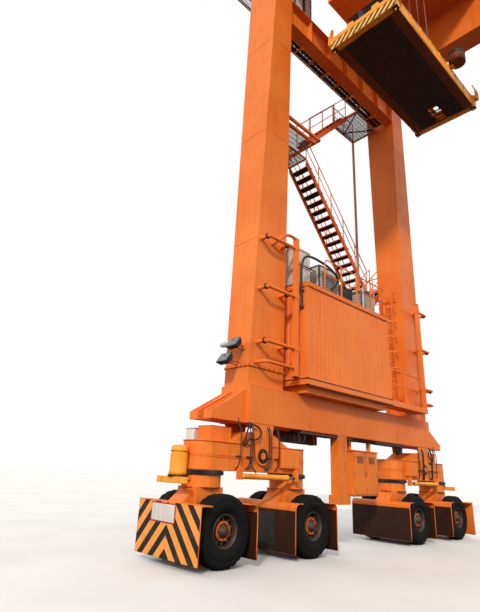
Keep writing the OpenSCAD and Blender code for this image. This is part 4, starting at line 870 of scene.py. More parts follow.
# Cooling units and boxes on the roof
def cased_unit(piece, lo, hi, skin, trim, louvred, grille=False, feet=0.07):
    """A cabinet on feet: a body, four corner angles, an overhanging lid, and louvres on the named faces."""
    lo, hi = np.array(lo, float), np.array(hi, float)
    body_lo, body_hi = lo + [0.02, 0.02, feet], hi - [0.02, 0.02, 0.03]
    piece.block(skin, body_lo, body_hi, 0.012)
    for x in (lo[0] + 0.01, hi[0] - 0.07):
        for y in (lo[1] + 0.01, hi[1] - 0.07):
            piece.block(trim, [x, y, lo[2]], [x + 0.06, y + 0.06, hi[2] - 0.02], 0.006)
    piece.block(trim, [lo[0], lo[1], hi[2] - 0.045], hi, 0.01)
    for face in louvred:
        axis, low_side = (0, face == "near") if face in ("near", "far") else (1, face == "inner")
        a, b = body_lo + [0.1, 0.1, 0.12], body_hi - [0.1, 0.1, 0.14]
        at = body_lo[axis] if low_side else body_hi[axis]
        a[axis], b[axis] = (at - 0.016, at) if low_side else (at, at + 0.016)
        slats(piece, a, b, 0.055, trim)
        frame_lo, frame_hi = a - 0.03, b + 0.03
        frame_lo[axis], frame_hi[axis] = (at - 0.008, at + 0.004) if low_side else (at - 0.004, at + 0.008)
        piece.block(skin, frame_lo, frame_hi, 0.002)
    if grille:
        middle = np.array([(lo[0] + hi[0]) / 2, (lo[1] + hi[1]) / 2, hi[2]])
        reach = min(hi[0] - lo[0], hi[1] - lo[1]) * 0.4
        rim_of_fan = [(reach, -0.01), (reach, 0.05), (reach - 0.02, 0.05), (reach - 0.02, -0.01)]
        piece.add(hoop(rim_of_fan, middle, 2, 40), trim)
        for r in np.arange(0.06, reach - 0.03, 0.045):
            wire = [(r, 0.035), (r, 0.043), (r - 0.006, 0.043), (r - 0.006, 0.035)]
            piece.add(hoop(wire, middle, 2, 28), black_steel)
        top = middle + [0, 0, 0.038]
        for turn in np.linspace(0, math.pi, 4, endpoint=False):
            spoke = np.array([math.cos(turn), math.sin(turn), 0]) * (reach - 0.01)
            piece.add(tube([top - spoke, top + spoke], 0.006, 6), black_steel)


piece = Piece("roof_equipment", "frame", "grey_paint", at_side(1))
for lo, hi, skin, trim, louvred, grille, feet in (
        ((-3.08, -0.5), (-2.32, 0.35, 1.35), unit_grey, unit_grey, (), False, 0.1),
        ((-2.05, -0.65), (-0.95, 0.3, 1.05), unit_grey, unit_dark, ("inner", "near"), True, 0.16),
        ((-0.6, -0.42), (0.15, 0.45, 0.85), black_steel, black_steel, ("inner", "near"), True, 0.07),
        ((0.4, -0.7), (1.15, 0.25, 0.95), unit_dark, unit_grey, ("inner", "near", "far"), True, 0.07)):
    cased_unit(piece, [*lo, roof_z], [hi[0], hi[1], roof_z + hi[2]], skin, trim, louvred, grille, feet)
piece.pipe(hose_black, [(-3.1, -0.53, roof_z + 0.8), (-2.2, -0.53, roof_z + 0.8)], 0.02)
piece.block(unit_dark, [-3.08, -0.5, roof_z + 1.35], [-2.32, 0.35, roof_z + 1.36], 0.004)
for x0, y0, x1, y1, up in ((-2.32, -0.1, -2.05, -0.1, 0.5), (-0.95, 0.1, -0.6, 0.1, 0.35),
                           (0.15, 0.1, 0.4, 0.1, 0.4)):
    link = [(x0, y0, roof_z + up), ((x0 + x1) / 2, y0 + 0.1, roof_z + up - 0.2), (x1, y1, roof_z + up)]
    piece.pipe(hose_black, link, 0.035, 10, 2)
for y in (-0.55, 0.62):
    piece.block(unit_dark, [-3.0, y, roof_z], [1.2, y + 0.05, roof_z + 0.05], 0.006)
piece.build(["roof_units"])

# The thick hose that arches from the house's wall to the units on its roof
piece = Piece("roof_hoses", "frame", "cable_rubber", at_side(1))
arch = [(-3.16, -0.85, 6.6), (-3.2, -0.85, 7.3), (-3.2, -0.85, 7.9), (-3.1, -0.9, 8.25), (-2.7, -0.9, 8.35),
        (-1.9, -0.9, 8.3), (-1.35, -0.85, 8.15), (-1.25, -0.8, 7.95), (-1.45, -0.62, 7.7)]
piece.pipe(hose_black, arch, 0.038, 12, 3)
for z in (6.6, 7.1):
    piece.block(unit_dark, [-3.22, -0.91, z - 0.04], [-3.1, -0.79, z + 0.04], 0.01)
piece.build()


# Weld beads round the legs, and the bolts and gussets of their foot flanges
def leg_at(z):
    """Inner X, outer X and half depth of a leg at height z: straight lines between sill and girder."""
    t = (z - sill_top) / (girder_z - sill_top)
    return 3.49 + 0.1 * t, 4.86 - 0.47 * t, 0.45 + 0.25 * t


piece = Piece("leg_joints", "frame", "orange_paint")
flange_low, flange_top = 4.6, 4.63
for frame_side in (-1, 1):
    piece.place = at_side(frame_side)
    for side in (-1, 1):
        for z in (8.4, 12.3, 16.2):
            x0, x1, half = leg_at(z)
            loop = [(side * x0, -half, z), (side * x1, -half, z), (side * x1, half, z), (side * x0, half, z)]
            for a, b in zip(loop, loop[1:] + loop[:1]):
                piece.pipe(orange, [a, b], 0.007, 6)
        x0, x1, half = leg_at((flange_low + flange_top) / 2)
        heads = [(x, y) for x in np.arange(x0 + 0.02, x1, 0.19) for y in (-half - 0.021, half + 0.021)]
        heads += [(x, y) for x in (x0 - 0.021, x1 + 0.021) for y in np.arange(-half + 0.1, half, 0.18)]
        for z, up in ((flange_top, 1), (flange_low, -1)):
            head = [(0.016, 0), (0.016, up * 0.02), (0.012, up * 0.024)]
            for x, y in heads:
                piece.add(turned(head, [side * x, y, z], 2, 6), black_steel)
        for x in np.linspace(x0 + 0.25, x1 - 0.25, 3):
            for y, out in ((-half, -1), (half, 1)):
                gusset = [(y, flange_top), (y + out * 0.035, flange_top), (y, 4.95)]
                piece.add(carry([[(side * x + w, a, b) for a, b in gusset] for w in (-0.008, 0.008)]),
                          orange)
piece.build()


def door_handle(piece, x, y, low, high, stand, radius):
    """A bent round bar that stands off a door between two heights."""
    bent = [(x, y, low), (x, y + stand, low + 0.02), (x, y + stand, high - 0.02), (x, y, high)]
    piece.pipe(bare_steel, bent, radius, 8, 1)


# Cladding and doors of the electrical house on the other side frame
piece = Piece("control_cladding", "frame", "orange_paint", at_side(-1))
lo, hi = np.array([-2.3, -1.0, house_lo[2]]), np.array([2.3, 1.1, 6.98])
clad_house(piece, lo, hi)
for x in (-1.9, -0.45, 1.0):
    piece.block(house_orange, [x, hi[1] + 0.02, lo[2] + 0.06], [x + 0.9, hi[1] + 0.056, lo[2] + 2.1], 0.006)
    door_handle(piece, x + 0.8, hi[1] + 0.056, lo[2] + 1.0, lo[2] + 1.18, 0.044, 0.009)
    slats(piece, [x + 0.15, hi[1] + 0.055, lo[2] + 1.5], [x + 0.75, hi[1] + 0.066, lo[2] + 1.95], 0.05,
          unit_dark)
for x in (-1.2, 0.5):
    cased_unit(piece, [x, -0.4, 7.16], [x + 0.9, 0.4, 7.86], unit_grey, unit_dark, ("inner",), True)
piece.build()

# Sill fittings: cabinet doors, cables in the tray and their loops, weld beads and bracket edges
cabinet_x, cabinet_y = 0.87, -0.545
bracket_in, bracket_out = 4.87, 5.955
for frame_side, word in ((-1, "near"), (1, "far")):
    piece = Piece(f"sill_fittings_{word}", "frame", "amber_paint", at_side(frame_side))
    for x in (-0.27, 0.39):
        piece.block(cabinet_orange, [x, cabinet_y, 1.5], [x + 0.63, cabinet_y + 0.015, 2.72], 0.005)
        door_handle(piece, x + 0.56, cabinet_y, 2.0, 2.16, -0.03, 0.008)
        for z in (1.62, 2.1, 2.6):
            piece.lathe(bare_steel, [(0.012, z - 0.04), (0.012, z + 0.04)], [x + 0.005, -0.55, 0], 2, 10)
        slats(piece, [x + 0.15, -0.552, 2.4], [x + 0.48, -0.542, 2.62], 0.03, unit_dark)
    piece.block(cabinet_orange, [-0.34, -0.56, 2.74], [1.09, 0.1, 2.775], 0.006)
    piece.block(unit_dark, [-0.34, -0.5, 1.43], [1.09, 0.05, 1.46], 0.006)
    piece.block(cabinet_orange, [-1.09, -0.56, 1.5], [-0.65, -0.55, 2.4], 0.004)
    bolts(piece, [-cabinet_x, -0.4, 3.12], 0.27, 10, 0.014, -0.02, 2, black_steel)
    x = np.linspace(-2.9, 2.9, 30)
    for k in range(6):
        y = -0.47 + 0.055 * k + 0.01 * np.sin(3 * x + k)
        sag = 0.018 * np.sin(x * (2.1 + 0.17 * k) + k) + 0.014 * np.sin(x * 4.7 + 2 * k)
        piece.pipe(hose_black, np.stack([x, y, 3.085 + sag], 1), 0.016 + 0.003 * (k % 3))
    for side in (-1, 1):
        for k, y in enumerate((-0.44, -0.36, -0.28, -0.2)):
            turn_x = 2.75 + 0.09 * k
            slack = [(2.6, y, 3.08), (turn_x, y, 3.06), (turn_x + 0.06, y, 2.98),
                     (turn_x + 0.04, y, 2.84), (turn_x - 0.1, y - 0.02, 2.79),
                     (turn_x - 0.2, y - 0.02, 2.9), (turn_x - 0.22, y - 0.02, 3.1)]
            piece.pipe(hose_black, np.array(slack) * [side, 1, 1], 0.016, 8, 3)
    for y in (-0.55, 0.55):
        for z in (sill_z + 0.02, sill_top - 0.02):
            piece.pipe(orange, [(-4.86, y, z), (4.86, y, z)], 0.008, 6)
        for x in (-2.4, 0.0, 2.4):
            piece.pipe(orange, [(x, y, sill_z), (x, y, sill_top)], 0.006, 6)
    for x in (-2.96, -1.3):
        piece.block(cabinet_orange, [x - 0.03, 0.19, 2.83], [x + 0.03, 0.39, sill_z], 0.006)
    for side in (-1, 1):
        for y in (-0.42, -0.13, 0.11, 0.4):
            strip = [(bracket_in, 3.95), (bracket_out, 3.315), (bracket_out, 3.333), (bracket_in, 3.968)]
            piece.add(carry([[(side * x, y + w, z) for x, z in strip] for w in (0.0, 0.022)]), orange)
        for y in (-0.27, 0.27):
            piece.block(orange, [side * 5.948, y - 0.15, 3.13], [side * 5.966, y + 0.15, 3.33], 0.004)
    piece.build()

# Cabinets on the end tie, and stiffener edges
piece = Piece("tie_fittings", "frame", "grey_paint", at_side(1))
for x, wide in ((-3.35, 0.52), (-2.78, 0.46)):
    cased_unit(piece, [x, -0.62, 18.8], [x + wide, -0.12, 19.95], unit_grey, unit_dark, ("far",))
piece.block(orange, [-3.4, -0.66, 18.79], [-2.25, -0.05, 18.805], 0.002)
for frame_side in (-1, 1):
    piece.place = at_side(frame_side)
    for z in (17.665, 18.785):
        for y in (-0.664, -0.236):
            piece.pipe(orange, [(-3.5, y, z), (3.5, y, z)], 0.012, 6)
piece.build()


# Floodlights on brackets at the near leg, and a small camera housing
def tipped(at):
    """Turns points of a lamp that faces -X downward by 35 degrees, and moves them to its place."""
    tilt = math.radians(35)
    c, s = math.cos(tilt), math.sin(tilt)
    turn = np.array([[c, 0, -s], [0, 1, 0], [s, 0, c]])
    return lambda p: at_side(1)(at + p @ turn)


def lamp_head(piece):
    """A lamp: a box-like shell that tapers back through five rings, a ribbed lens and fins."""
    rings = []
    for x, grow in ((0.0, 1.0), (0.03, 1.0), (0.035, 0.93), (0.1, 0.88), (0.15, 0.6)):
        w, h, e = 0.21 * grow, 0.165 * grow, 0.03 * grow
        outline = [(-w + e, -h), (w - e, -h), (w, -h + e), (w, h - e), (w - e, h), (-w + e, h),
                   (-w, h - e), (-w, -h + e)]
        rings.append([(x, y + 0.21, z + 0.165) for y, z in outline])
    piece.add(carry(rings), black_steel)
    piece.block(lamp_lens, [-0.008, 0.03, 0.03], [0.004, 0.39, 0.3], 0.003)
    for y in np.linspace(0.06, 0.36, 9):
        piece.block(black_steel, [0.09, y, 0.05], [0.16, y + 0.008, 0.28], 0.002)


piece = Piece("lamp_heads", "frame", "dark_steel")
for x, y, z in ((-5.33, -0.43, 5.05), (-5.5, -0.3, 4.62)):
    piece.place = tipped(np.array([x, y, z]))
    lamp_head(piece)
    piece.place = at_side(1)
    x_leg = -leg_at(z + 0.06)[1]
    piece.pipe(orange, [(x + 0.12, y + 0.21, z + 0.1), (x_leg + 0.02, y + 0.21, z + 0.1)], 0.03, 10)
    piece.block(orange, [x_leg - 0.01, y + 0.13, z], [x_leg - 0.03, y + 0.29, z + 0.2], 0.004)
    lead = [(x + 0.1, y + 0.21, z + 0.2), (x + 0.2, y + 0.25, z + 0.05), (x_leg - 0.02, y + 0.27, z + 0.02)]
    piece.pipe(hose_black, lead, 0.012, 8, 2)
housing = [(0.06, 0.06), (0.075, 0.07), (0.075, 0.36), (0.06, 0.42)]
piece.lathe(unit_grey, housing, [-5.07, 0, 5.225], 1, 20)
piece.block(orange, [-5.03, 0.18, 5.19], [-4.81, 0.23, 5.23], 0.005)
piece.build(["floodlights"])

# The festoon: flat cables in loops under their carriers, hung between the fixed end and the trolley where it
# stands
loops, fixed_y, hang_z, deep = 4, 12.3, 22.88, 1.25
festoon_x = -5.56
pitch = (fixed_y - trolley_y) / loops
bend = (pitch - 0.14) / 2 - 0.045
down = hang_z - deep + bend + 0.045
spread = ("frame", "trolley", (festoon_x, fixed_y, hang_z), (festoon_x, trolley_y, hang_z))
piece = Piece("festoon_loops", "frame", "cable_rubber")
turn = np.linspace(0, math.pi, 13)
for i in range(loops):
    middle = fixed_y - (i + 0.5) * pitch
    arc = np.stack([np.zeros(13), middle + bend * np.cos(turn), down - bend * np.sin(turn)], 1)
    path = np.vstack([[0, middle + bend, hang_z], [0, middle + bend * 1.01, (hang_z + down) / 2], arc,
                      [0, middle - bend * 1.01, (hang_z + down) / 2], [0, middle - bend, hang_z]])
    for k, shift in enumerate((-0.034, -0.012, 0.012, 0.034)):
        drop = np.array([festoon_x + shift, 0, 0])
        piece.pipe(hose_black, path + drop, 0.0115)
        slack = path.copy()
        slack[:, 2] += np.where(slack[:, 2] < down, 0.03 + 0.012 * k, 0)
        piece.pipe(hose_black, slack + drop, 0.008, 6)
piece.build(["festoon_cable"], spread)

# Carriers of the festoon: a plate, two hangers with rollers, and round bars under the loops
piece = Piece("festoon_carriers", "frame", "bare_steel")
for i in range(1, loops):
    y = fixed_y - i * pitch
    piece.block(black_steel, [festoon_x - 0.07, y - 0.13, hang_z],
                [festoon_x + 0.07, y + 0.13, hang_z + 0.03], 0.006)
    for x in (festoon_x - 0.068, festoon_x + 0.068):
        piece.block(bare_steel, [x - 0.006, y - 0.09, hang_z + 0.03], [x + 0.006, y + 0.09, 23.13], 0.003)
        for off in (-0.06, 0.06):
            piece.lathe(bare_steel, [(0.035, -0.008), (0.035, 0.008)], [x, y + off, 23.1], 0, 20)
    for off in (-0.1, 0.1):
        bar_z = hang_z - 0.012
        piece.pipe(black_steel, [(festoon_x - 0.05, y + off, bar_z), (festoon_x + 0.05, y + off, bar_z)],
                   0.018)
piece.build((), spread)


# Hoist drum, gearbox, motor and cubicle on the trolley
def ring_rows(starts, radii, offsets):
    """Radius and position of the rings that repeat along a turned profile, one set from each start."""
    return np.stack([np.tile(radii, len(starts)), (starts[:, None] + np.array(offsets)).ravel()], 1)


piece = Piece("hoist_parts", "trolley", "grey_paint", at_trolley)
drum_z = deck_top + 0.75
grooves = ring_rows(np.arange(-1.44, 1.44, 0.036), [0.43, 0.45, 0.45], [0.0, 0.012, 0.024])
drum = np.vstack([[0.45, -1.5], grooves, [0.45, 1.5]])
piece.lathe(bare_steel, drum, [0, 0, drum_z], 0, 40)
for x in (-1.53, 1.53):
    flange = [(0.53, x - 0.03), (0.54, x - 0.025), (0.54, x + 0.025), (0.53, x + 0.03)]
    piece.lathe(amber, flange, [0, 0, drum_z], 0, 48)
    out = math.copysign(1, x)
    bolts(piece, [x + out * 0.03, 0, drum_z], 0.4, 12, 0.018, out * 0.02, 0, black_steel)
piece.lathe(bare_steel, [(0.09, -1.8), (0.09, 1.8)], [0, 0, drum_z], 0, 28)
bearing = [(-0.26, deck_top), (0.26, deck_top), (0.18, drum_z + 0.1), (0.1, drum_z + 0.16),
           (-0.1, drum_z + 0.16), (-0.18, drum_z + 0.1)]
for side in (-1, 1):
    piece.add(carry([[(side * x, y, z) for y, z in bearing] for x in (1.6, 1.8)]), amber)
    cover = [(0.15, side * 1.8), (0.15, side * 1.83), (0.12, side * 1.85)]
    piece.lathe(black_steel, cover, [0, 0, drum_z], 0, 24)
gearbox = [(-0.5, deck_top), (0.7, deck_top), (0.7, deck_top + 0.95), (0.5, deck_top + 1.15),
           (-0.3, deck_top + 1.15), (-0.5, deck_top + 0.95)]
piece.add(carry([[(x, y, z) for y, z in gearbox] for x in (1.8, 2.5)]), unit_grey)
for x in (1.86, 2.15, 2.44):
    piece.block(unit_grey, [x - 0.015, -0.52, deck_top], [x + 0.015, 0.72, deck_top + 0.9], 0.004)
piece.block(unit_grey, [1.78, -0.52, deck_top + 0.6], [2.52, 0.72, deck_top + 0.64], 0.004)
fins = ring_rows(np.arange(1.06, 1.74, 0.03), [0.235, 0.26, 0.26, 0.235], [0.0, 0.002, 0.01, 0.012])
motor = np.vstack([[0.22, 1.0], [0.235, 1.01], fins, [0.235, 1.78], [0.24, 1.8]])
piece.lathe(amber, motor, [0, 0.45, deck_top + 0.7], 0, 32)
piece.block(amber, [1.2, 0.36, deck_top + 0.94], [1.5, 0.56, deck_top + 1.06], 0.01)
piece.block(orange, [1.05, 0.3, deck_top], [1.65, 0.6, deck_top + 0.5], 0.01)
cased_unit(piece, [-3.3, -1.3, deck_top], [-2.1, 1.3, deck_top + 1.9], unit_grey, unit_dark, ("far",),
           feet=0.12)
for y in (-0.65, 0.0, 0.65):
    piece.block(unit_dark, [-3.31, y - 0.01, deck_top + 0.2], [-3.28, y + 0.01, deck_top + 1.8], 0.003)
piece.build(["hoist_machinery"])

# Rails, wheel covers, striped ends and stiffeners of the trolley frame
piece = Piece("trolley_fittings", "trolley", "orange_paint", at_trolley)
for y in (-2.38, 2.38):
    railing(piece, [(-3.74, y, deck_top), (3.74, y, deck_top)], rail_height, 1.25)
for side in (-1, 1):
    cover = [(0.2, side * 4.2), (0.2, side * 4.225), (0.16, side * 4.24), (0.06, side * 4.25)]
    for y in (-2.05, 2.05):
        piece.lathe(black_steel, cover, [0, y, 22.19], 0, 24)
        bolts(piece, [side * 4.22, y, 22.19], 0.165, 8, 0.014, side * 0.02, 0, bare_steel)
    piece.block(chevrons, [side * 3.78, -2.61, 22.5], [side * 4.2, -2.6, 22.69], 0.004)
    for y in (-2.62, 2.6):
        button = [(0.07, y), (0.09, y + 0.01), (0.09, y + 0.02)]
        piece.add(turned(button, [side * 3.99, 0, 22.3], 1, 20), black_steel)
for y in (-1.7, 1.7):
    for x in np.arange(-3.4, 3.5, 0.85):
        for off in (-0.27, 0.25):
            piece.block(orange, [x - 0.01, y + off, 22.44], [x + 0.01, y + off + 0.02, 23.04], 0.003)
piece.build()

# Rail clips along the trolley rails
piece = Piece("rail_clips", "frame", "bare_steel")
y = np.arange(-12.3, 12.35, 0.6)
one = np.ones_like(y)
for side in (-1, 1):
    for off in (-0.1, 0.05):
        x = side * girder_x + off
        low = np.stack([one * x, y - 0.04, one * girder_top], 1)
        high = np.stack([one * (x + 0.05), y + 0.04, one * (girder_top + 0.03)], 1)
        piece.add(bars(low, high), black_steel)
piece.build()


# Cab fittings: window frames, floor bars, seat and consoles
def window_frame(piece, corners):
    """Four round bars, one along each side of a window, in the order of its corners."""
    for a, b in zip(corners, corners[1:] + corners[:1]):
        piece.pipe(black_steel, [a, b], 0.016)


piece = Piece("cab_fittings", "trolley", "dark_steel", at_trolley)
cab_lo, cab_hi = np.array([-3.38, -1.05, 17.45]), np.array([-1.68, 1.05, 19.7])
window_top, pillar = cab_hi[2] - 0.35, 0.12
for side in (-1, 1):
    y = side * 1.052
    x0, x1, z0 = cab_lo[0] + pillar, cab_hi[0] - pillar, cab_lo[2] + 0.9
    window_frame(piece, [(x0, y, z0), (x1, y, z0), (x1, y, window_top), (x0, y, window_top)])
    for x in (x0 + 0.5, x1 - 0.45):
        piece.block(black_steel, [x - 0.012, y - 0.02, z0], [x + 0.012, y + 0.01, window_top], 0.003)
x = cab_hi[0] + 0.002
y0, y1, z0 = cab_lo[1] + pillar, cab_hi[1] - pillar, cab_lo[2] + 0.16
window_frame(piece, [(x, y0, z0), (x, y1, z0), (x, y1, window_top), (x, y0, window_top)])
for y in (-0.35, 0.35):
    piece.block(black_steel, [x - 0.02, y - 0.012, z0], [x + 0.01, y + 0.012, window_top], 0.003)
for y in np.arange(-0.85, 0.9, 0.17):
    piece.pipe(black_steel, [(-2.38, y, 17.53), (-1.8, y, 17.53)], 0.009)
piece.block(hose_black, [-2.62, -0.26, 17.95], [-2.1, 0.26, 18.07], 0.04)
piece.block(hose_black, [-2.72, -0.25, 18.05], [-2.6, 0.25, 18.75], 0.04)
piece.lathe(black_steel, [(0.09, 17.51), (0.09, 17.95)], [-2.38, 0, 0], 2, 20)
for side in (-1, 1):
    piece.block(unit_grey, [-2.55, side * 0.34, 17.85], [-2.0, side * 0.56, 18.2], 0.03)
    piece.pipe(black_steel, [(-2.15, side * 0.45, 18.2), (-2.13, side * 0.45, 18.34)], 0.014)
piece.block(orange, [cab_lo[0] - 0.03, -1.08, 19.68], [cab_hi[0] + 0.05, 1.08, 19.72])
piece.block(unit_grey, [cab_lo[0] + 0.2, -0.5, 19.72], [cab_lo[0] + 1.0, 0.3, 19.98], 0.02)
slats(piece, [cab_lo[0] + 0.24, -0.515, 19.76], [cab_lo[0] + 0.96, -0.5, 19.95], 0.03, unit_dark)
piece.build()

# Headblock fittings: sheave rims, hub covers, end plates and ribs
piece = Piece("headblock_fittings", "spreader", "amber_paint", at_trolley)
for x in (-0.7, 0.7):
    for y in (-0.45, 0.45):
        for side in (-1, 1):
            rim = [(0.345, side * 0.045), (0.345, side * 0.055), (0.24, side * 0.055), (0.24, side * 0.045)]
            piece.round_loop(black_steel, rim, [x, y, 17.17], 1, 40)
            cover = [(0.09, side * 0.095), (0.09, side * 0.11), (0.06, side * 0.115)]
            piece.lathe(black_steel, cover, [x, y, 17.17], 1, 20)
for side in (-1, 1):
    piece.block(amber, [-0.9, side * 0.65, 16.5], [0.9, side * 0.665, 16.94], 0.006)
    piece.block(amber, [side * 1.15, -0.5, 16.5], [side * 1.165, 0.5, 16.94], 0.006)
    for x in (-1.0, -0.5, 0.0, 0.5, 1.0):
        piece.block(amber, [x - 0.01, side * 0.65, 16.44], [x + 0.01, side * 0.7, 17.0], 0.003)
piece.build()

# Spreader fittings: ribs, panels, dark floor plates and strips underneath that are partly painted shade,
# boxes, the cable basket and its hoses
piece = Piece("spreader_fittings", "spreader", "amber_paint", at_trolley)
half_x, half_y, top = 2.789, 1.159, spreader_top
for side in (-1, 1):
    y = side * half_y
    for z in (15.72, 16.17):
        piece.block(amber, [-half_x, y - side * 0.005, z], [half_x, y + side * 0.012, z + 0.03], 0.003)
    for x in np.linspace(-half_x + 0.1, half_x - 0.1, 9):
        piece.block(amber, [x - 0.01, y, 15.75], [x + 0.01, y + side * 0.04, 16.17], 0.003)
    for x in (-1.9, 0.5):
        piece.block(amber, [x, y, 15.8], [x + 1.4, y + side * 0.012, 16.12], 0.004)
# Dark ribs, plates and strips under the spreader: partly its brown paint, partly painted shade under the
# spreader
for x in np.arange(-2.6, 2.65, 0.26):
    piece.block(guard_brown, [x - 0.012, -1.15, spreader_low], [x + 0.012, 1.15, 15.72], 0.003)
for x0, x1, y0, y1 in ((-2.78, 1.73, -1.15, 1.15), (1.73, 2.78, -1.15, -0.2), (1.73, 2.78, 0.2, 1.15)):
    piece.block(tread_steel, [x0, y0, 15.708], [x1, y1, 15.72], 0.002)
for y in (-1.15, 0.85):
    piece.block(deep_brown, [-2.78, y, 15.698], [2.78, y + 0.3, 15.71], 0.003)
for x in (1.94, 2.56):
    for dx, dy in ((-0.19, 0), (0.19, 0), (0, -0.19), (0, 0.19)):
        wide, long = 0.012 if dx else 0.2, 0.012 if dy else 0.2
        piece.block(black_steel, [x + dx - wide, dy - long, 15.69], [x + dx + wide, dy + long, 15.72], 0.003)
for x0, y0, x1, y1, tall in ((-2.2, -0.55, -1.35, 0.55, 0.42), (1.3, 0.35, 1.68, 0.75, 0.35)):
    lid = top + tall
    piece.block(amber, [x0, y0, top], [x1, y1, lid], 0.015)
    piece.block(unit_dark, [x0 - 0.01, y0 - 0.01, lid - 0.03], [x1 + 0.01, y1 + 0.01, lid], 0.006)
basket = [(0.2, top), (0.28, 16.22), (0.28, 16.6), (0.26, 16.62)]
piece.lathe(deep_brown, basket, [0.95, -1.42, 0], 2, 40)
basket_rim = [(0.29, 16.55), (0.29, 16.64), (0.25, 16.64), (0.25, 16.55)]
piece.add(hoop(basket_rim, [0.95, -1.42, 0], 2, 40), black_steel)
piece.block(amber, [0.85, -1.3, 16.16], [1.05, -1.15, 16.34], 0.01)
for y in (-0.24, -0.08, 0.08, 0.24):
    hose = [(-1.35, y, 16.4), (-1.0, y * 1.1, 16.3), (0.2, y * 2, 16.24), (1.9, y * 2.6, 16.24),
            (2.7, y * 3, 16.26)]
    piece.pipe(hose_black, hose, 0.018, 8, 2)
piece.build()

# The telescopic ends: striped beams, ribs, corner boxes with their collars and rods
for name, sx in (("a", -1), ("b", 1)):
    piece = Piece(f"spreader_end_{name}_fittings", f"spreader_end_{name}", "amber_paint", at_trolley)
    outer = 3.029
    piece.block(slant_stripes, [sx * outer, -1.2, 15.71], [sx * (outer + 0.006), 1.2, 16.01], 0.002)
    piece.block(amber, [sx * outer, -1.0, 16.03], [sx * (outer + 0.01), 1.0, 16.18], 0.004)
    for y in np.linspace(-0.9, 0.9, 7):
        piece.block(amber, [sx * outer, y - 0.01, 16.03], [sx * (outer + 0.024), y + 0.01, 16.18], 0.003)
    for m in (-1, 1):
        x, y = sx * 2.9265, m * 1.1295
        piece.block(black_steel, [x - 0.1, y - 0.088, 15.665], [x + 0.1, y + 0.088, spreader_low], 0.01)
        collar = [(0.05, 15.64), (0.05, 15.67), (0.03, 15.67), (0.03, 15.64)]
        piece.add(hoop(collar, [x, y, 0], 2, 24), bare_steel)
        piece.lathe(amber, [(0.03, top), (0.09, top), (0.09, 16.25), (0.05, 16.27)], [x, y, 0], 2, 20)
        piece.pipe(bare_steel, [(x, y, 16.26), (sx * 2.9, m * 0.5, 16.26)], 0.02)
        piece.block(amber, [sx * 2.84, m * 0.35, top], [sx * 3.0, m * 0.6, 16.38], 0.012)
    piece.build()

# Ribs and hinge plates of the four flippers
for k, (sx, sy) in enumerate(((-1, 1), (1, 1), (-1, -1), (1, -1)), 1):
    piece = Piece(f"flipper_{k}_fittings", f"flipper_{k}", "amber_paint", at_trolley)
    hinge_y = sy * 1.294
    rib = [(hinge_y + sy * y, 16.08 + z) for y, z in ((0.02, 0.0), (0.075, 0.08), (0.06, 0.3), (0.02, 0.36))]
    for x in (2.849, 2.979):
        piece.add(carry([[(sx * (x + w), y, z) for y, z in rib] for w in (-0.006, 0.006)]), amber)
    piece.block(amber, [sx * 2.855, hinge_y - 0.021, 16.1], [sx * 2.973, hinge_y + 0.021, 16.13], 0.004)
    piece.build()

# Collars, clamps and stand-off arms of the leg guards
piece = Piece("guard_fittings", "frame", "dark_steel", at_side(1))
guard_y = -0.845
clamp = [(0.085, -0.8), (0.085, -0.76), (0.056, -0.76), (0.056, -0.8)]
for pole_x, boss_x in ((-3.43, -4.605), (4.045, 4.735)):
    piece.block(black_steel, [pole_x - 0.075, -0.92, 4.47], [pole_x + 0.075, -0.77, 4.49], 0.004)
    piece.block(black_steel, [pole_x - 0.07, -0.915, 8.67], [pole_x + 0.07, -0.775, 8.69], 0.004)
    for z in (5.27, 6.82, 8.37):
        for x in (boss_x, boss_x + (pole_x - boss_x) * 0.72):
            piece.round_loop(black_steel, clamp, [x, 0, z], 1, 24)
        piece.block(orange, [pole_x - 0.08, -0.925, z - 0.07], [pole_x + 0.08, -0.91, z + 0.07], 0.004)
    arm = [(boss_x, -0.47, 4.72), (boss_x, -0.82, 4.72), (boss_x + (pole_x - boss_x) * 0.1, guard_y, 4.72),
           (pole_x, guard_y, 4.72)]
    piece.pipe(orange, arm, 0.045, 12, 2)
hook = [(-4.15, -0.52, 8.35), (-4.12, -0.8, 8.45), (-4.0, guard_y, 8.6), (-3.75, guard_y, 8.72),
        (-3.43, guard_y, 8.7)]
piece.pipe(orange, hook, 0.045, 12, 2)
piece.build()

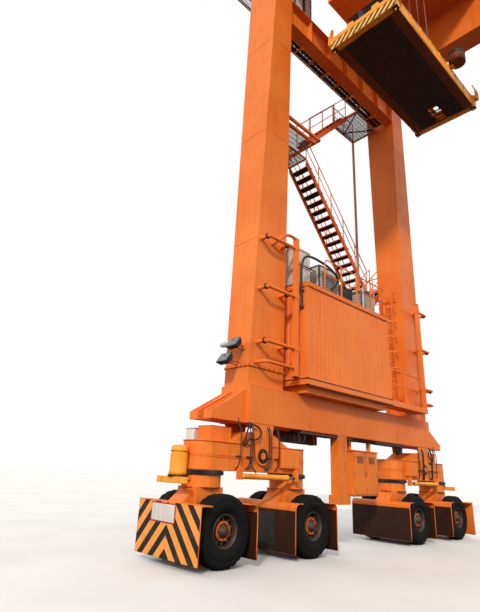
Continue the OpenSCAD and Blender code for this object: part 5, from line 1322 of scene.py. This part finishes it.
# The sky lights the crane softly, and is plain white where a camera, a mirror or glass looks at it
scene_world = bpy.data.worlds.new("studio")
bpy.context.scene.world = scene_world
scene_world.use_nodes = True
tree = scene_world.node_tree
tree.nodes.clear()


def larger(a, b):
    """The larger of two values of the world's nodes."""
    node = tree.nodes.new("ShaderNodeMath")
    node.operation = "MAXIMUM"
    tree.links.new(a, node.inputs[0])
    tree.links.new(b, node.inputs[1])
    return node.outputs[0]


def glow(colour, strength):
    """A background of one colour and strength."""
    node = tree.nodes.new("ShaderNodeBackground")
    node.inputs["Color"].default_value = colour
    node.inputs["Strength"].default_value = strength
    return node.outputs[0]


rays = tree.nodes.new("ShaderNodeLightPath").outputs
seen = larger(rays["Is Camera Ray"], larger(rays["Is Glossy Ray"], rays["Is Transmission Ray"]))
choose = tree.nodes.new("ShaderNodeMixShader")
for k, value in enumerate((seen, glow((0.93, 0.96, 1.0, 1), 1.25), glow((1, 1, 1, 1), 1.0))):
    tree.links.new(value, choose.inputs[k])
world_out = tree.nodes.new("ShaderNodeOutputWorld")
tree.links.new(choose.outputs[0], world_out.inputs[0])

# A low, warm sun
sun = bpy.data.objects.new("sun", bpy.data.lights.new("sun", "SUN"))
sun.data.energy = 2.4
sun.data.angle = math.radians(6)
sun.data.color = (1.0, 0.95, 0.88)
sun.rotation_mode = "QUATERNION"
sun.rotation_quaternion = Vector((0.72, 0.5, -0.48)).to_track_quat("-Z", "Y")
bpy.context.scene.collection.objects.link(sun)

# A pale yard, darker where it only reflects light
yard = bpy.data.meshes.new("yard_floor")
far = 180
yard.from_pydata([(-far, -far, -0.002), (far, -far, -0.002), (far, far, -0.002), (-far, far, -0.002)], [],
                 [(0, 1, 2, 3)])
floor = bpy.data.objects.new("yard_floor", yard)
bpy.context.scene.collection.objects.link(floor)
ground = Finish("pale_floor")
seen_skin = ground.mix(ground.ramp(ground.noise(0.4, 5.0), 0.3, 0.7), srgb(206, 202, 196),
                       srgb(216, 213, 208))
on_camera = ground.node("ShaderNodeLightPath").outputs["Is Camera Ray"]
floor.data.materials.append(ground.done(ground.mix(on_camera, srgb(70, 66, 62), seen_skin), 0.85))

bpy.context.scene.view_settings.view_transform = "Standard"
